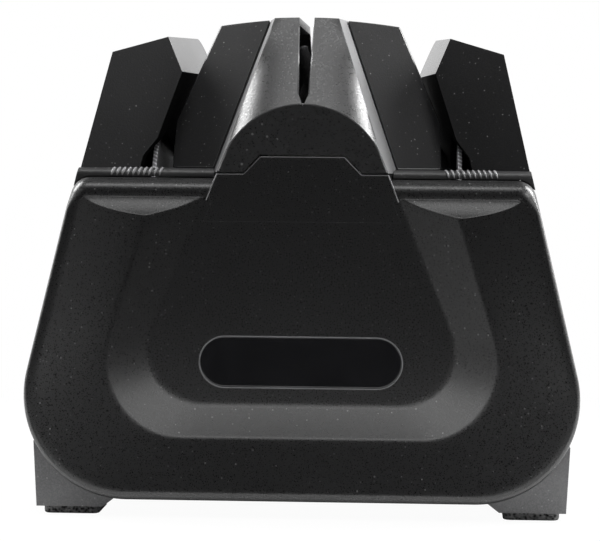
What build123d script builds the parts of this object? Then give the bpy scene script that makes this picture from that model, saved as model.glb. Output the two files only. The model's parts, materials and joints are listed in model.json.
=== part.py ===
"""Electric knife sharpener with two lift-off blade guides, a direct-drive motor and a ceramic hone.

Frame, in millimetres: +X to the user's right, +Y to the rear, +Z up.
The origin is the bottom centre of the body, on the surface that it stands on.
"""
import os
from math import cos, radians, sin, tan

from build123d import *

# ---- body shells -------------------------------------------------------------------------
WIDTH = 165.4             # widest point, low on the sides
DEPTH = 110.0             # front face to rear face
BODY_BOTTOM = 5.1         # underside of the shells above the table
DECK_Z = 101.0            # top deck of the shells
SIDE_LEAN = 13.5          # degrees, sides off vertical
CORNER_R = 31.0           # lower corners
SHOULDER_R = 5.6          # upper corners
RIM_ROUND = 3.0           # rounding round the front and rear faces
DECK_ROUND = 5.5          # rounding along the deck's front and rear edges
WALL = 2.6                # shell wall

# ---- relief of the front and rear faces ----------------------------------------------------
RIM_WIDTH = 5.0           # flat rim outside the hollow
BROW_Z = 94.6             # upper edge of the hollow
VALLEY_DEPTH = 4.0        # hollow's crease below the face
VALLEY_TOP_Z = 90.0
VALLEY_BOTTOM_Z = 23.7
VALLEY_HALF_TOP = 46.5    # half width of the crease at its top
VALLEY_LEAN = 16.8
VALLEY_R = 22.7
PANEL_HALF_TOP = 25.3     # half width of the proud centre panel at the tower's foot
PANEL_BOTTOM_Z = 33.6
PANEL_LEAN = 21.9
PANEL_R = 16.3
TAB_HALF_LOW = 17.5       # tab on the panel's top edge, which keys the tower
TAB_HALF_HIGH = 12.5
TAB_RISE = 5.2
SEAM = 0.4                # open seam between mouldings

# ---- tower in the middle, with the hone slot -----------------------------------------------
TOWER_Z = 102.9           # foot of the tower
TOWER_LEAN = 21.6         # sides off vertical
TOWER_DRAFT = 7.7         # sides splay from the front edge back to the full width
TOWER_MID = 19.0          # half depth over which the tower has its full width
NOSE_LEAN = 27.0          # crest of the nose off vertical
ARCH_SPRING_Z = 109.4     # where the arch leaves the crest
ARCH_TOP_Z = 123.3
CROWN_Z = 149.5           # highest point
CROWN_R = 214.0           # arc across the top
TOWER_WALL = 2.4
HONE_SLOT_TOP = 4.6       # slot width at the top
HONE_SLOT_LOW = 2.8       # slot width where its V begins
HONE_SLOT_LOW_Z = 125.8
HONE_SLOT_TIP_Z = 122.4

# ---- knife guides --------------------------------------------------------------------------
BASE_TOP_Z = 103.8        # top of the guide's base strip
BASE_FRONT = 8.0          # base strip's front edge behind the front face
BASE_ROUND = 2.3          # rounding of that edge
TAIL_WALL_Y = 38.0        # low wall that closes the knife channel behind the disc
TAIL_WALL = 3.0
TAIL_WALL_TOP = 110.5
LIP_DROP = 2.7            # outer lip below the deck
LIP_PROUD = 0.3           # lip stands out from the guide above it
GUIDE_GAP = 0.3           # air round a lift-off guide
SLOT_STEP = 15.5          # inner guide's outer face at its foot, outside the tower's foot
BLOCK_KNEE_IN = -0.3      # its knee, in from that face
BLOCK_KNEE_Z = 118.1
BLOCK_LEAN = 22.1         # slope of the face that the blade passes
BLOCK_SWEEP = 29.2        # front face swept back in plan
BLOCK_RAKE = 27.9         # front face leans back
BLOCK_FRONT = 17.5        # front face behind the body's face at the tower's foot
BLOCK_FRONT_OUT = 2.5     # where that front face is measured, outside the tower's foot
WING_TOP_IN = 7.8         # outer guide: top edge in from its foot
WING_TOP_Z = 138.9
WING_PEAK_OUT = 3.0       # top of the lead-in bevel, outside the slot's inner foot
WING_PEAK_Z = 143.8
WING_LIP_OUT = -1.4       # nearest point to the blade
WING_LIP_Z = 133.3
WING_WALL_OUT = 4.3       # foot of the guiding wall
WING_WALL_Z = 113.0
WING_HEEL_OUT = 8.8       # clearance beside the disc
WING_HEEL_Z = 107.6
WING_SWEEP = 23.6
WING_RAKE = 15.7
WING_FRONT = 12.0         # front face behind the body's face at the outer foot
WING_REAR_IN = 12.0       # rear face in from the body's rear face, at the foot
WING_REAR_RAKE = 8.0
WING_REAR_R = 5.5
CHANNEL_OVER = 40.0       # the knife slots' cut runs this far above the crown
SLOT_TOE = 5.3            # degrees, knife slots close in towards the rear
GUIDE_WALL = 2.4
GRIP_OUT = 2.0            # thumb grip: first rib outside the inner guide's face
GRIP_RIBS = 10
GRIP_PITCH = 1.6
GRIP_RIB = 0.8            # width of a rib
GRIP_PROUD = 0.5
GRIP_SLANT = 24.0         # ribs lean in towards the tower
PEG_R = 3.0               # locating pegs under each guide
PEG_IN = 9.3              # pegs in from the outer guide's foot
PEG_END = 19.0            # pegs in from the front and rear faces
PEG_LENGTH = 10.0
GUIDE_SCREW_Y = 20.0
GUIDE_SCREW_IN = 11.3     # guide screws in from the outer guide's foot

# ---- spindle and motor ---------------------------------------------------------------------
AXIS_Z = 81.0
SHAFT_R = 2.0
SHAFT_OVER = 5.1          # shaft's end beyond each disc's inner face
RUN_GAP = 0.05            # radial running clearance
DISC_R = 37.0
DISC_OUT = 5.1            # inner face of each abrasive disc, outside the slot's inner foot
DISC_THICK = 1.4
DISC_ROOM = 2.0           # air each side of a disc
HUB_R = 10.0
HUB_FLANGE = 1.6
HUB_BOSS_R = 5.0
HUB_LENGTH = 6.9          # from a hub's boss to its disc
WASHER_R = 8.0
WASHER_THICK = 1.2
NUT_R = 3.6
NUT_THICK = 2.2
BEARING_R = 6.5
BEARING_WIDTH = 5.0
BEARING_BACK = 11.9       # bearings behind the discs
MOTOR_R = 13.85
MOTOR_HALF = 19.0
MOTOR_WALL = 1.2
BELL_THICK = 1.6
BELL_BOSS_R = 5.0
BELL_BOSS = 2.4
MAGNET_THICK = 2.2
ROTOR_R = 9.8
ROTOR_HALF = 9.0
ROTOR_SLOTS = 5
WINDING_R = 8.6
WINDING_LENGTH = 4.0
COMMUTATOR_R = 4.0
COMMUTATOR_LENGTH = 3.0
BRUSH = 2.4
RING_THICK = 2.0          # rubber rings round the motor
RING_WIDTH = 8.0
RING_X = 12.0
FAN_R = 12.0
FAN_X = 24.0
FAN_WIDTH = 4.0
FAN_BLADES = 7

# ---- base, legs and pads -------------------------------------------------------------------
PLATE_THICK = 2.8
PLATE_LAP = 4.5           # plate runs this far over the legs' inner faces
LEG_SET_IN = 2.6          # legs' outer faces in from the widest point
LEG_WIDTH = 22.4
LEG_BOTTOM = 2.4
LEG_LEAN = 3.0
LEG_INSET = 4.0           # legs behind the front and rear faces
SKIRT_TOP_Z = 22.0
ARCH_GAP_Z = 9.0          # top of the cut-out between the legs
LEG_DEPTH = 26.0
PAD_SET_IN = 2.7          # pads in from the legs' outer faces
PAD_WIDTH = 16.8
PAD_DEPTH = 22.0
PAD_R = 2.5
VENT_COUNT = 7
VENT_WIDTH = 2.4
VENT_PITCH = 6.0
BASE_VENT_LENGTH = 24.0
BASE_VENT_Y = 22.0

# ---- badge, button, lights and inlet -------------------------------------------------------
BADGE_LENGTH = 60.6
BADGE_HEIGHT = 15.6
BADGE_Z = 46.7
BADGE_THICK = 1.1
BADGE_PROUD = 0.3
BADGE_GAP = 0.15
BUTTON_Z = 70.0
BUTTON_R = 10.0
BUTTON_PROUD = 1.2
BUTTON_FLANGE = 1.5
BUTTON_FLANGE_R = 11.6
BUTTON_TRAVEL = 1.5
BEZEL_R = 13.0
BEZEL_PROUD = 0.5
BEZEL_SUNK = 0.8
STEM_R = 1.5
SWITCH_SIZE = 8.0
SWITCH_HEIGHT = 3.4
SPRING_R = 6.5
SPRING_WIRE = 0.4
SPRING_TURNS = 4
LIGHT_Z = 52.0
LIGHT_PITCH = 9.0
LIGHT_COUNT = 3
LIGHT_R = 1.7
INLET_X = 26.0
INLET_Z = 46.0
INLET_R = 5.4
INLET_BORE_R = 3.1
INLET_DEPTH = 9.0
INLET_PIN_R = 1.0
BOARD_SET_IN = 15.0       # circuit board's motor side in from the rear face
BOARD_THICK = 1.6
BOARD_HALF_X = 34.0
BOARD_LOW_Z = 38.0
BOARD_HIGH_Z = 84.0
BOARD_ROOM = 3.0          # ribs stay this far from the board
BOARD_SCREW_X = 30.0
BOARD_SCREW_Z = 79.0
REAR_VENT_Z = 86.0
REAR_VENT_HEIGHT = 9.0
REAR_VENT_PITCH = 5.0

# ---- fasteners and hone --------------------------------------------------------------------
SCREW_R = 1.5
SCREW_HEAD_R = 2.8
SCREW_HEAD = 2.0
BOSS_R = 4.0
SHELL_SCREWS = ((20.5, 34.0), (18.5, 82.0))   # in from the widest point, and height
SHELL_SCREW_LENGTH = 30.0
BASE_SCREW_IN = 16.0      # base screws in from the plate's edges
BASE_SCREW_END = 11.0     # base screws in from the front and rear faces
BASE_SCREW_THREAD = 11.0
BASE_BOSS = 14.0          # bosses over the base plate
TOWER_SCREW_LENGTH = 12.0
TOWER_SCREW_IN = 5.8      # tower screws in from the tower's foot
TOWER_SCREW_END = 28.0    # tower screws in from the front and rear faces
ROD_R = 2.5
ROD_LENGTH = 33.0
ROD_TILT = 20.0
ROD_CROSS_Z = 131.0
ROD_PITCH = 8.0
HOLDER_TOP_Z = 117.0
HOLDER_X = 26.0
HOLDER_Y = 22.0
ROD_FIT = 0.03
LEAD_R = 0.8
CAPACITOR = (-20.0, 60.0, 4.0, 11.0)   # place on the board, radius and height
DRIVER = (0.0, 58.0, 6.0, 4.0, 2.0)    # place, half sizes and thickness
SOCKET_X = 22.0           # lead socket on the board
SOCKET_Z = 75.0
SOCKET_DEPTH = 5.0

FRONT = -DEPTH / 2
REAR = DEPTH / 2
CAVITY = REAR - VALLEY_DEPTH - WALL            # half depth of the space inside
PLATEAU_Z = TOWER_Z - SEAM
DECK_UNDER = DECK_Z - WALL
BIG = 400.0
BOARD_Y = REAR - BOARD_SET_IN
BLOCK_FOOT_X = PANEL_HALF_TOP + SLOT_STEP
BLOCK_KNEE_X = BLOCK_FOOT_X - BLOCK_KNEE_IN
WING_PEAK_X = BLOCK_FOOT_X + WING_PEAK_OUT
WING_LIP_X = BLOCK_FOOT_X + WING_LIP_OUT
WING_WALL_X = BLOCK_FOOT_X + WING_WALL_OUT
WING_HEEL_X = BLOCK_FOOT_X + WING_HEEL_OUT
DISC_X = BLOCK_FOOT_X + DISC_OUT
BEARING_X = DISC_X - BEARING_BACK
LEG_OUT_X = WIDTH / 2 - LEG_SET_IN
LEG_IN_X = LEG_OUT_X - LEG_WIDTH
PAD_OUT_X = LEG_OUT_X - PAD_SET_IN
PLATE_HALF_X = LEG_IN_X + PLATE_LAP
BASE_SCREW_X = PLATE_HALF_X - BASE_SCREW_IN
PEG_Y = REAR - PEG_END


# ---- helpers -------------------------------------------------------------------------------
def slope(angle):
    """Sideways run for each millimetre of height at a lean in degrees."""
    return tan(radians(angle))


def front_view(sketch, y):
    """Lay a sketch drawn in X and Z on the plane at depth y."""
    return Plane.XZ.offset(-y) * sketch


def along_y(sketch, y0, y1):
    return extrude(front_view(sketch, y0), amount=y1 - y0, dir=(0, 1, 0))


def along_x(sketch, x0, x1):
    """Extrude a sketch drawn in Y and Z from x0 to x1."""
    return extrude(Plane.YZ.offset(x0) * sketch, amount=x1 - x0, dir=(1, 0, 0))


def along_z(sketch, z0, z1):
    return extrude(Plane.XY.offset(z0) * sketch, amount=z1 - z0, dir=(0, 0, 1))


def box(x0, x1, y0, y1, z0, z1):
    return Pos((x0 + x1) / 2, (y0 + y1) / 2, (z0 + z1) / 2) * Box(x1 - x0, y1 - y0, z1 - z0)


def rod_x(radius, x0, x1, y=0.0, z=AXIS_Z):
    return along_x(Pos(y, z) * Circle(radius), x0, x1)


def rod_y(radius, y0, y1, x, z):
    return along_y(Pos(x, z) * Circle(radius), y0, y1)


def rod_z(radius, z0, z1, x, y):
    return along_z(Pos(x, y) * Circle(radius), z0, z1)


def shape(points):
    return Polygon(*points, align=None)


def beyond(point, normal):
    """Everything outside a slanted plane, as a cutting block."""
    lift = (Align.CENTER, Align.CENTER, Align.MIN)
    return Plane(origin=point, z_dir=normal) * Box(BIG, BIG, BIG, align=lift)


def flip(part, plane=Plane.YZ):
    return mirror(part, about=plane)


def both_sides(part):
    return part + flip(part)


def panel(half_top, top, bottom, lean, corner_r, top_r=0.0):
    """A symmetric face outline: leaning sides, rounded lower corners."""
    half_low = half_top + (top - bottom) * slope(lean)
    outline = shape([(-half_top, top), (half_top, top), (half_low, bottom), (-half_low, bottom)])
    outline = fillet(outline.vertices().sort_by(Axis.Y)[:2], corner_r)
    if top_r > 0:
        outline = fillet(outline.vertices().sort_by(Axis.Y)[-2:], top_r)
    return outline


def side_x(z, inset=0.0):
    """Half width of the body's straight side at height z, set in by a wall."""
    lean = radians(SIDE_LEAN)
    reach = cos(lean) * (WIDTH / 2 - CORNER_R) + sin(lean) * (BODY_BOTTOM + CORNER_R) + CORNER_R
    return (reach - inset - sin(lean) * z) / cos(lean)


WING_FOOT_X = side_x(BASE_TOP_Z)
WING_TOP_X = WING_FOOT_X - WING_TOP_IN
GUIDE_SCREW_X = WING_FOOT_X - GUIDE_SCREW_IN
PEG_X = WING_FOOT_X - PEG_IN


def body_outline(inset=0.0, top=DECK_Z, top_r=SHOULDER_R):
    return panel(side_x(top, inset), top, BODY_BOTTOM + inset, SIDE_LEAN, CORNER_R - inset, top_r)


def centre_panel(inset=0.0, top=TOWER_Z):
    half = PANEL_HALF_TOP + (TOWER_Z - top) * slope(PANEL_LEAN) - inset / cos(radians(PANEL_LEAN))
    return panel(half, top, PANEL_BOTTOM_Z + inset, PANEL_LEAN, PANEL_R - inset)


def valley():
    return panel(VALLEY_HALF_TOP, VALLEY_TOP_Z, VALLEY_BOTTOM_Z, VALLEY_LEAN, VALLEY_R)


# ---- tower form, used for the tower, its hollow and the guides' inner faces --------------------
def tower_half_width(y_in, z):
    """Half width of the tower y_in behind the front face, at height z."""
    splay = min(y_in, REAR - TOWER_MID) * slope(TOWER_DRAFT)
    return PANEL_HALF_TOP + splay - (z - TOWER_Z) * slope(TOWER_LEAN)


def tower_form(inset=0.0, foot=TOWER_Z):
    """The tower as a solid block; inset shrinks it for the hollow, or grows it for clearance."""
    top = CROWN_Z + 1.0
    spring = ARCH_SPRING_Z - inset
    nose = (top - ARCH_SPRING_Z) * slope(NOSE_LEAN)
    full = REAR - TOWER_MID

    def half(y_in, z):
        return tower_half_width(y_in, z) - inset / cos(radians(TOWER_LEAN))

    def section(y_in):
        return shape([(-half(y_in, top), top), (half(y_in, top), top), (half(y_in, foot), foot),
                      (-half(y_in, foot), foot)])

    left, right = (-half(0, spring), spring), (half(0, spring), spring)
    sides = Polyline(left, (-half(0, foot), foot), (half(0, foot), foot), right)
    arch = sides + ThreePointArc(right, (0, ARCH_TOP_Z - inset), left)
    front = front_view(make_face(arch), FRONT + inset)
    crest = front_view(section(nose), FRONT + inset + nose)
    wide = front_view(section(full), FRONT + inset + full)
    half_form = loft([front, crest], ruled=True) + loft([crest, wide], ruled=True)
    half_form += along_y(section(full), FRONT + inset + full, 0)
    form = half_form + flip(half_form, Plane.XZ)
    crown = Pos(0, CROWN_Z - inset - CROWN_R) * Circle(CROWN_R)
    return form & along_y(crown, -DEPTH, DEPTH)


def tower_plan(grow=0.0):
    """Footprint of the tower."""
    low, wide = PANEL_HALF_TOP + grow, tower_half_width(REAR, TOWER_Z) + grow
    quarter = [(low, FRONT), (wide, -TOWER_MID), (wide, TOWER_MID), (low, REAR)]
    return shape(quarter + [(-x, y) for x, y in reversed(quarter)])


def tab_shape(grow=0.0):
    """Key on the top edge of the centre panels."""
    low, high, top = TAB_HALF_LOW + grow, TAB_HALF_HIGH + grow, PLATEAU_Z + TAB_RISE + grow
    return shape([(-low, PLATEAU_Z - 1), (-low, PLATEAU_Z), (-high, top), (high, top), (low, PLATEAU_Z),
                  (low, PLATEAU_Z - 1)])


# ---- housings ------------------------------------------------------------------------------
def body_block():
    """Outer form of both shells together, with the relief on the front and rear faces."""
    block = along_y(body_outline(), FRONT, REAR)
    front_rim = block.edges().filter_by_position(Axis.Y, FRONT, FRONT)
    rear_rim = block.edges().filter_by_position(Axis.Y, REAR, REAR)
    block = fillet(front_rim + rear_rim, RIM_ROUND)
    profile = shape([(FRONT, 0), (REAR, 0), (REAR, DECK_Z), (FRONT, DECK_Z)])
    profile = fillet(profile.vertices().sort_by(Axis.Y)[-2:], DECK_ROUND)
    block = block & along_x(profile, -WIDTH, WIDTH)
    half, low = side_x(BROW_Z, RIM_WIDTH), BODY_BOTTOM + RIM_WIDTH
    edge = panel(half, BROW_Z, low, SIDE_LEAN, CORNER_R - RIM_WIDTH)
    crease = front_view(valley(), FRONT + VALLEY_DEPTH)
    hollow = loft([front_view(edge, FRONT), crease], ruled=True)
    rise = loft([crease, front_view(centre_panel(top=DECK_Z), FRONT)], ruled=True)
    rise = rise & box(-BIG, BIG, -BIG, BIG, 0, BROW_Z + SEAM)
    slab = along_y(centre_panel(top=PLATEAU_Z), FRONT, FRONT + DECK_ROUND + WALL)
    slab = slab & box(-BIG, BIG, -BIG, BIG, BROW_Z - SEAM, PLATEAU_Z)
    slab += along_y(tab_shape(), FRONT, FRONT + WALL)
    block = block - hollow + rise + slab
    block = block - flip(hollow, Plane.XZ) + flip(rise, Plane.XZ) + flip(slab, Plane.XZ)
    return block + along_z(tower_plan(), DECK_Z - 1, PLATEAU_Z)


def inner_space():
    """The hollow inside the shells."""
    space = along_y(body_outline(WALL, DECK_UNDER, SHOULDER_R - WALL), -CAVITY, CAVITY)
    pocket = centre_panel(WALL + 2.0, VALLEY_TOP_Z)
    return space + along_y(pocket, FRONT + WALL, REAR - WALL)


def base_opening():
    """The shells are open underneath, where the base plate closes them."""
    return box(-PLATE_HALF_X - SEAM / 2, PLATE_HALF_X + SEAM / 2, -CAVITY, CAVITY, 0,
               BODY_BOTTOM + PLATE_THICK + SEAM / 2)


def disc_slots():
    """Slots in the deck for the discs."""
    reach = DISC_R - DISC_ROOM
    x0, x1 = DISC_X - DISC_ROOM, DISC_X + DISC_THICK + DISC_ROOM
    slot = box(x0, x1, -reach, reach, DECK_UNDER - 1, DECK_Z + 1)
    return both_sides(slot)


def peg_holes():
    holes = [rod_z(PEG_R + GUIDE_GAP, DECK_UNDER - 1, DECK_Z + 1, PEG_X, y) for y in (-PEG_Y, PEG_Y)]
    return both_sides(holes[0] + holes[1])


def bearing_ribs():
    """Plates that grip the motor rings and the spindle bearings between the two shells."""
    saddles = ((RING_X, RING_WIDTH / 2 - 1, MOTOR_R + RING_THICK),
               (BEARING_X, BEARING_WIDTH / 2, BEARING_R))
    ribs = None
    for x, half, radius in saddles:
        foot = AXIS_Z - max(radius, BEARING_R) - 5.0
        plate = box(x - half, x + half, -CAVITY - 1, CAVITY + 1, foot, DECK_UNDER + 1)
        plate -= rod_x(radius + RUN_GAP, x - half - 1, x + half + 1)
        ribs = plate if ribs is None else ribs + plate
    room = box(0, BOARD_HALF_X + BOARD_ROOM, BOARD_Y - BOARD_ROOM, CAVITY + 2,
               0, BOARD_HIGH_Z + BOARD_ROOM)
    return both_sides(ribs - room)


def boss(x, z, y0, y1, radius=BOSS_R):
    return rod_y(radius, y0, y1, x, z)


def shell_screw_places():
    return [(side * (WIDTH / 2 - inset), z) for side in (-1, 1) for inset, z in SHELL_SCREWS]


def base_screw_places():
    y = REAR - BASE_SCREW_END
    return [(-BASE_SCREW_X, -y), (-BASE_SCREW_X, y), (BASE_SCREW_X, -y), (BASE_SCREW_X, y)]


def tower_screw_places():
    x, y = PANEL_HALF_TOP - TOWER_SCREW_IN, REAR - TOWER_SCREW_END
    return [(-x, -y), (-x, y), (x, -y), (x, y)]


def shell():
    """Both shells as one hollow body, before the cut at the centre plane."""
    body = body_block() - inner_space() - base_opening() + bearing_ribs()
    for x, z in shell_screw_places():
        body += boss(x, z, -CAVITY - 1, CAVITY + 1)
    foot = BODY_BOTTOM + PLATE_THICK + SEAM / 2
    for x, y in base_screw_places():
        body += rod_z(BOSS_R, foot, foot - SEAM / 2 + BASE_BOSS, x, y)
        wall = CAVITY + 1 if y > 0 else -CAVITY - 1
        body += box(x - 1, x + 1, min(y, wall), max(y, wall), foot, foot - SEAM / 2 + BASE_BOSS)
        body -= rod_z(SCREW_R, BODY_BOTTOM, foot - SEAM / 2 + BASE_SCREW_THREAD + 1, x, y)
    for x, y in tower_screw_places():
        body -= rod_z(SCREW_R + 0.2, DECK_UNDER - 1, PLATEAU_Z + 1, x, y)
    return body - disc_slots() - peg_holes()


def badge_shape(grow=0.0):
    return Pos(0, BADGE_Z) * SlotOverall(BADGE_LENGTH + 2 * grow, BADGE_HEIGHT + 2 * grow)


def front_housing(body):
    part = body & box(-BIG, BIG, -BIG, 0, -BIG, BIG)
    for x, z in shell_screw_places():
        part -= rod_y(SCREW_R, -SHELL_SCREW_LENGTH / 2 - 1, 1, x, z)
    return part - along_y(badge_shape(BADGE_GAP), FRONT - 1, FRONT + BADGE_THICK - BADGE_PROUD)


def light_places():
    return [(i - (LIGHT_COUNT - 1) / 2) * LIGHT_PITCH for i in range(LIGHT_COUNT)]


def board_screw_places():
    return [(-BOARD_SCREW_X, BOARD_SCREW_Z), (BOARD_SCREW_X, BOARD_SCREW_Z),
            (-BOARD_SCREW_X, BOARD_LOW_Z + 5)]


def rear_vents(depth0, depth1):
    slot = Rectangle(VENT_WIDTH, REAR_VENT_HEIGHT)
    slot = fillet(slot.vertices(), VENT_WIDTH / 2 - 0.05)
    vents = None
    for i in range(VENT_COUNT):
        x = (i - (VENT_COUNT - 1) / 2) * REAR_VENT_PITCH
        cut = along_y(Pos(x, REAR_VENT_Z + REAR_VENT_HEIGHT / 2) * slot, depth0, depth1)
        vents = cut if vents is None else vents + cut
    return vents


def rear_housing(body):
    part = body & box(-BIG, BIG, 0, BIG, -BIG, BIG)
    for x, z in board_screw_places():
        part += boss(x, z, BOARD_Y + BOARD_THICK, REAR - WALL + 1, 3.0)
        part -= rod_y(1.0, BOARD_Y, REAR - WALL - 1, x, z)
    part -= rod_y(BUTTON_R + SEAM + 0.6, 0, REAR + 1, 0, BUTTON_Z)
    part -= rod_y(BEZEL_R + BADGE_GAP, REAR - BEZEL_SUNK, REAR + 1, 0, BUTTON_Z)
    for x in light_places():
        part -= rod_y(LIGHT_R + RUN_GAP, REAR - WALL - 3, REAR + 1, x, LIGHT_Z)
    part -= rod_y(INLET_R + RUN_GAP, REAR - WALL - 3, REAR + 1, INLET_X, INLET_Z)
    for x, z in shell_screw_places():
        part -= rod_y(SCREW_R + 0.2, -1, REAR + 1, x, z)
        part -= rod_y(SCREW_HEAD_R + 0.3, SHELL_SCREW_LENGTH / 2, REAR + 1, x, z)
    return part - rear_vents(REAR - 3 * WALL - VALLEY_DEPTH, REAR + 1)


# ---- base ----------------------------------------------------------------------------------
def base_frame():
    """Bottom plate that closes the shells, with a skirt and two legs on each side."""
    depth = REAR - LEG_INSET
    leg_out = LEG_OUT_X - (SKIRT_TOP_Z - LEG_BOTTOM) * slope(LEG_LEAN)
    skirt = shape([(LEG_IN_X + 1.5, LEG_BOTTOM), (leg_out, LEG_BOTTOM), (LEG_OUT_X, SKIRT_TOP_Z),
                   (LEG_IN_X - 2, SKIRT_TOP_Z), (LEG_IN_X - 2, BODY_BOTTOM)])
    side = along_y(skirt, -depth, depth)
    gap = depth - LEG_DEPTH
    cut = shape([(-gap, 0), (gap, 0), (gap, ARCH_GAP_Z), (-gap, ARCH_GAP_Z)])
    cut = fillet(cut.vertices().sort_by(Axis.Y)[-2:], 4.0)
    side -= along_x(cut, 0, WIDTH)
    side -= along_y(body_outline(-SEAM / 2), -REAR, REAR)
    reach = CAVITY - SEAM
    plate = box(-PLATE_HALF_X, PLATE_HALF_X, -reach, reach, BODY_BOTTOM, BODY_BOTTOM + PLATE_THICK)
    part = plate + both_sides(side)
    slot = fillet(Rectangle(VENT_WIDTH, BASE_VENT_LENGTH).vertices(), VENT_WIDTH / 2 - 0.05)
    for y in (-BASE_VENT_Y, BASE_VENT_Y):
        for i in range(VENT_COUNT):
            x = (i - (VENT_COUNT - 1) / 2) * VENT_PITCH
            part -= along_z(Pos(x, y) * slot, 0, BODY_BOTTOM + PLATE_THICK + 1)
    for x, y in base_screw_places():
        part -= rod_z(SCREW_R + 0.2, 0, BODY_BOTTOM + PLATE_THICK + 1, x, y)
        part -= rod_z(SCREW_HEAD_R + 0.3, 0, BODY_BOTTOM + 1.2, x, y)
    return part


def foot_pads():
    """Four foam pads, one under each leg."""
    y = REAR - LEG_INSET - LEG_DEPTH / 2
    pad = fillet(Rectangle(PAD_WIDTH, PAD_DEPTH).vertices(), PAD_R)
    x = PAD_OUT_X - PAD_WIDTH / 2
    return [along_z(Pos(sx * x, sy * y) * pad, 0, LEG_BOTTOM) for sx in (-1, 1) for sy in (-1, 1)]


# ---- tower, hone ---------------------------------------------------------------------------
def hone_slot():
    low, high = HONE_SLOT_LOW / 2, HONE_SLOT_TOP / 2
    flare = (high - low) / (CROWN_Z - HONE_SLOT_LOW_Z)
    top = CROWN_Z + 3
    wide = high + 3 * flare
    return along_y(shape([(0, HONE_SLOT_TIP_Z), (low, HONE_SLOT_LOW_Z), (wide, top), (-wide, top),
                          (-low, HONE_SLOT_LOW_Z)]), -REAR, REAR)


def hone_tower():
    part = tower_form() - tower_form(TOWER_WALL, TOWER_Z - 1) - hone_slot()
    for sign in (-1, 1):
        ends = sorted((sign * REAR, sign * (REAR - WALL - SEAM)))
        part -= along_y(tab_shape(SEAM), ends[0], ends[1])
    for x, y in tower_screw_places():
        part += rod_z(BOSS_R - 0.5, PLATEAU_Z, TOWER_Z + 8, x, y)
        reach = tower_half_width(REAR - abs(y), TOWER_Z + 4) - 1.0
        wall = reach if x > 0 else -reach
        part += box(min(x, wall), max(x, wall), y - 1, y + 1, TOWER_Z, TOWER_Z + 5)
        part -= rod_z(SCREW_R, PLATEAU_Z - 1, TOWER_Z + 7, x, y)
    return part


def rod_axis(sign):
    """Location of one hone rod, leaning to one side."""
    return Pos(0, sign * ROD_PITCH / 2, ROD_CROSS_Z) * Rot(0, sign * ROD_TILT, 0)


def hone_rods():
    rods = []
    for sign in (-1, 1):
        low = -ROD_LENGTH * 0.66
        rod = rod_axis(sign) * (Pos(0, 0, low + ROD_LENGTH / 2) * Cylinder(ROD_R, ROD_LENGTH))
        rods.append(fillet(rod.edges().sort_by(Axis.Z)[-1], 1.0))
    return rods


def hone_rod_holder():
    part = box(-HOLDER_X / 2, HOLDER_X / 2, -HOLDER_Y / 2, HOLDER_Y / 2, PLATEAU_Z, HOLDER_TOP_Z)
    part = chamfer(part.edges().group_by(Axis.Z)[-1], 1.0)
    for sign in (-1, 1):
        low = -ROD_LENGTH * 0.66
        bore = Pos(0, 0, low + ROD_LENGTH / 2) * Cylinder(ROD_R + ROD_FIT, ROD_LENGTH)
        part -= rod_axis(sign) * bore
    return part


# ---- knife guides, made for the right side and mirrored ----------------------------------------
def knife_channel(foot):
    """The space that the blade passes through, closing in towards the rear."""
    top = CROWN_Z + CHANNEL_OVER
    block_top = BLOCK_KNEE_X - (top - BLOCK_KNEE_Z) * slope(BLOCK_LEAN)
    bevel = (WING_PEAK_X - WING_LIP_X) / (WING_PEAK_Z - WING_LIP_Z)
    wing_top = WING_LIP_X + (top - WING_LIP_Z) * bevel
    section = shape([(BLOCK_FOOT_X, foot), (BLOCK_FOOT_X, BASE_TOP_Z), (BLOCK_KNEE_X, BLOCK_KNEE_Z),
                     (block_top, top), (wing_top, top), (WING_LIP_X, WING_LIP_Z),
                     (WING_WALL_X, WING_WALL_Z),
                     (WING_HEEL_X - 0.8, WING_HEEL_Z), (WING_HEEL_X, BASE_TOP_Z), (WING_HEEL_X, foot)])
    pivot = Pos(BLOCK_FOOT_X, FRONT + BLOCK_FRONT + 10, 0)
    return pivot * Rot(0, 0, SLOT_TOE) * pivot.inverse() * along_y(section, -BIG / 2, BIG / 2)


def block_cuts(inset=0.0):
    """Planes of the inner guide's front and rear faces."""
    normal = (slope(BLOCK_SWEEP), -1, slope(BLOCK_RAKE))
    front = beyond((PANEL_HALF_TOP + BLOCK_FRONT_OUT, FRONT + BLOCK_FRONT + inset, TOWER_Z), normal)
    return front + flip(front, Plane.XZ)


def wing_cuts(inset=0.0):
    normal = (-slope(WING_SWEEP), -1, slope(WING_RAKE))
    front = beyond((WING_FOOT_X, FRONT + WING_FRONT + inset, BASE_TOP_Z), normal)
    rear = beyond((WING_FOOT_X, REAR - WING_REAR_IN - inset, BASE_TOP_Z), (0, 1, slope(WING_REAR_RAKE)))
    return front + rear


def inner_guide():
    inner = tower_half_width(REAR, CROWN_Z + 2) - 8.0
    blank = along_y(shape([(inner, BASE_TOP_Z), (inner, CROWN_Z + 2), (BLOCK_FOOT_X + 4, CROWN_Z + 2),
                           (BLOCK_FOOT_X + 4, BASE_TOP_Z)]), FRONT, REAR)
    crown = Pos(0, CROWN_Z - CROWN_R) * Circle(CROWN_R)
    blank = blank & along_y(crown, FRONT, REAR)
    part = blank - knife_channel(BASE_TOP_Z - 5) - block_cuts() - tower_form(-GUIDE_GAP, BASE_TOP_Z - 2)
    part = part.solids().sort_by(Axis.X)[0]
    low, high = BASE_TOP_Z - 1, CROWN_Z - 14
    hollow = shape([(tower_half_width(REAR, low) + 4, low), (tower_half_width(REAR, high) + 4, high),
                    (tower_half_width(REAR, high) + 7, high), (BLOCK_KNEE_X - 6, BLOCK_KNEE_Z),
                    (BLOCK_FOOT_X - 6, low)])
    return part - (along_y(hollow, -TOWER_MID, TOWER_MID) - block_cuts(GUIDE_WALL))


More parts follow.
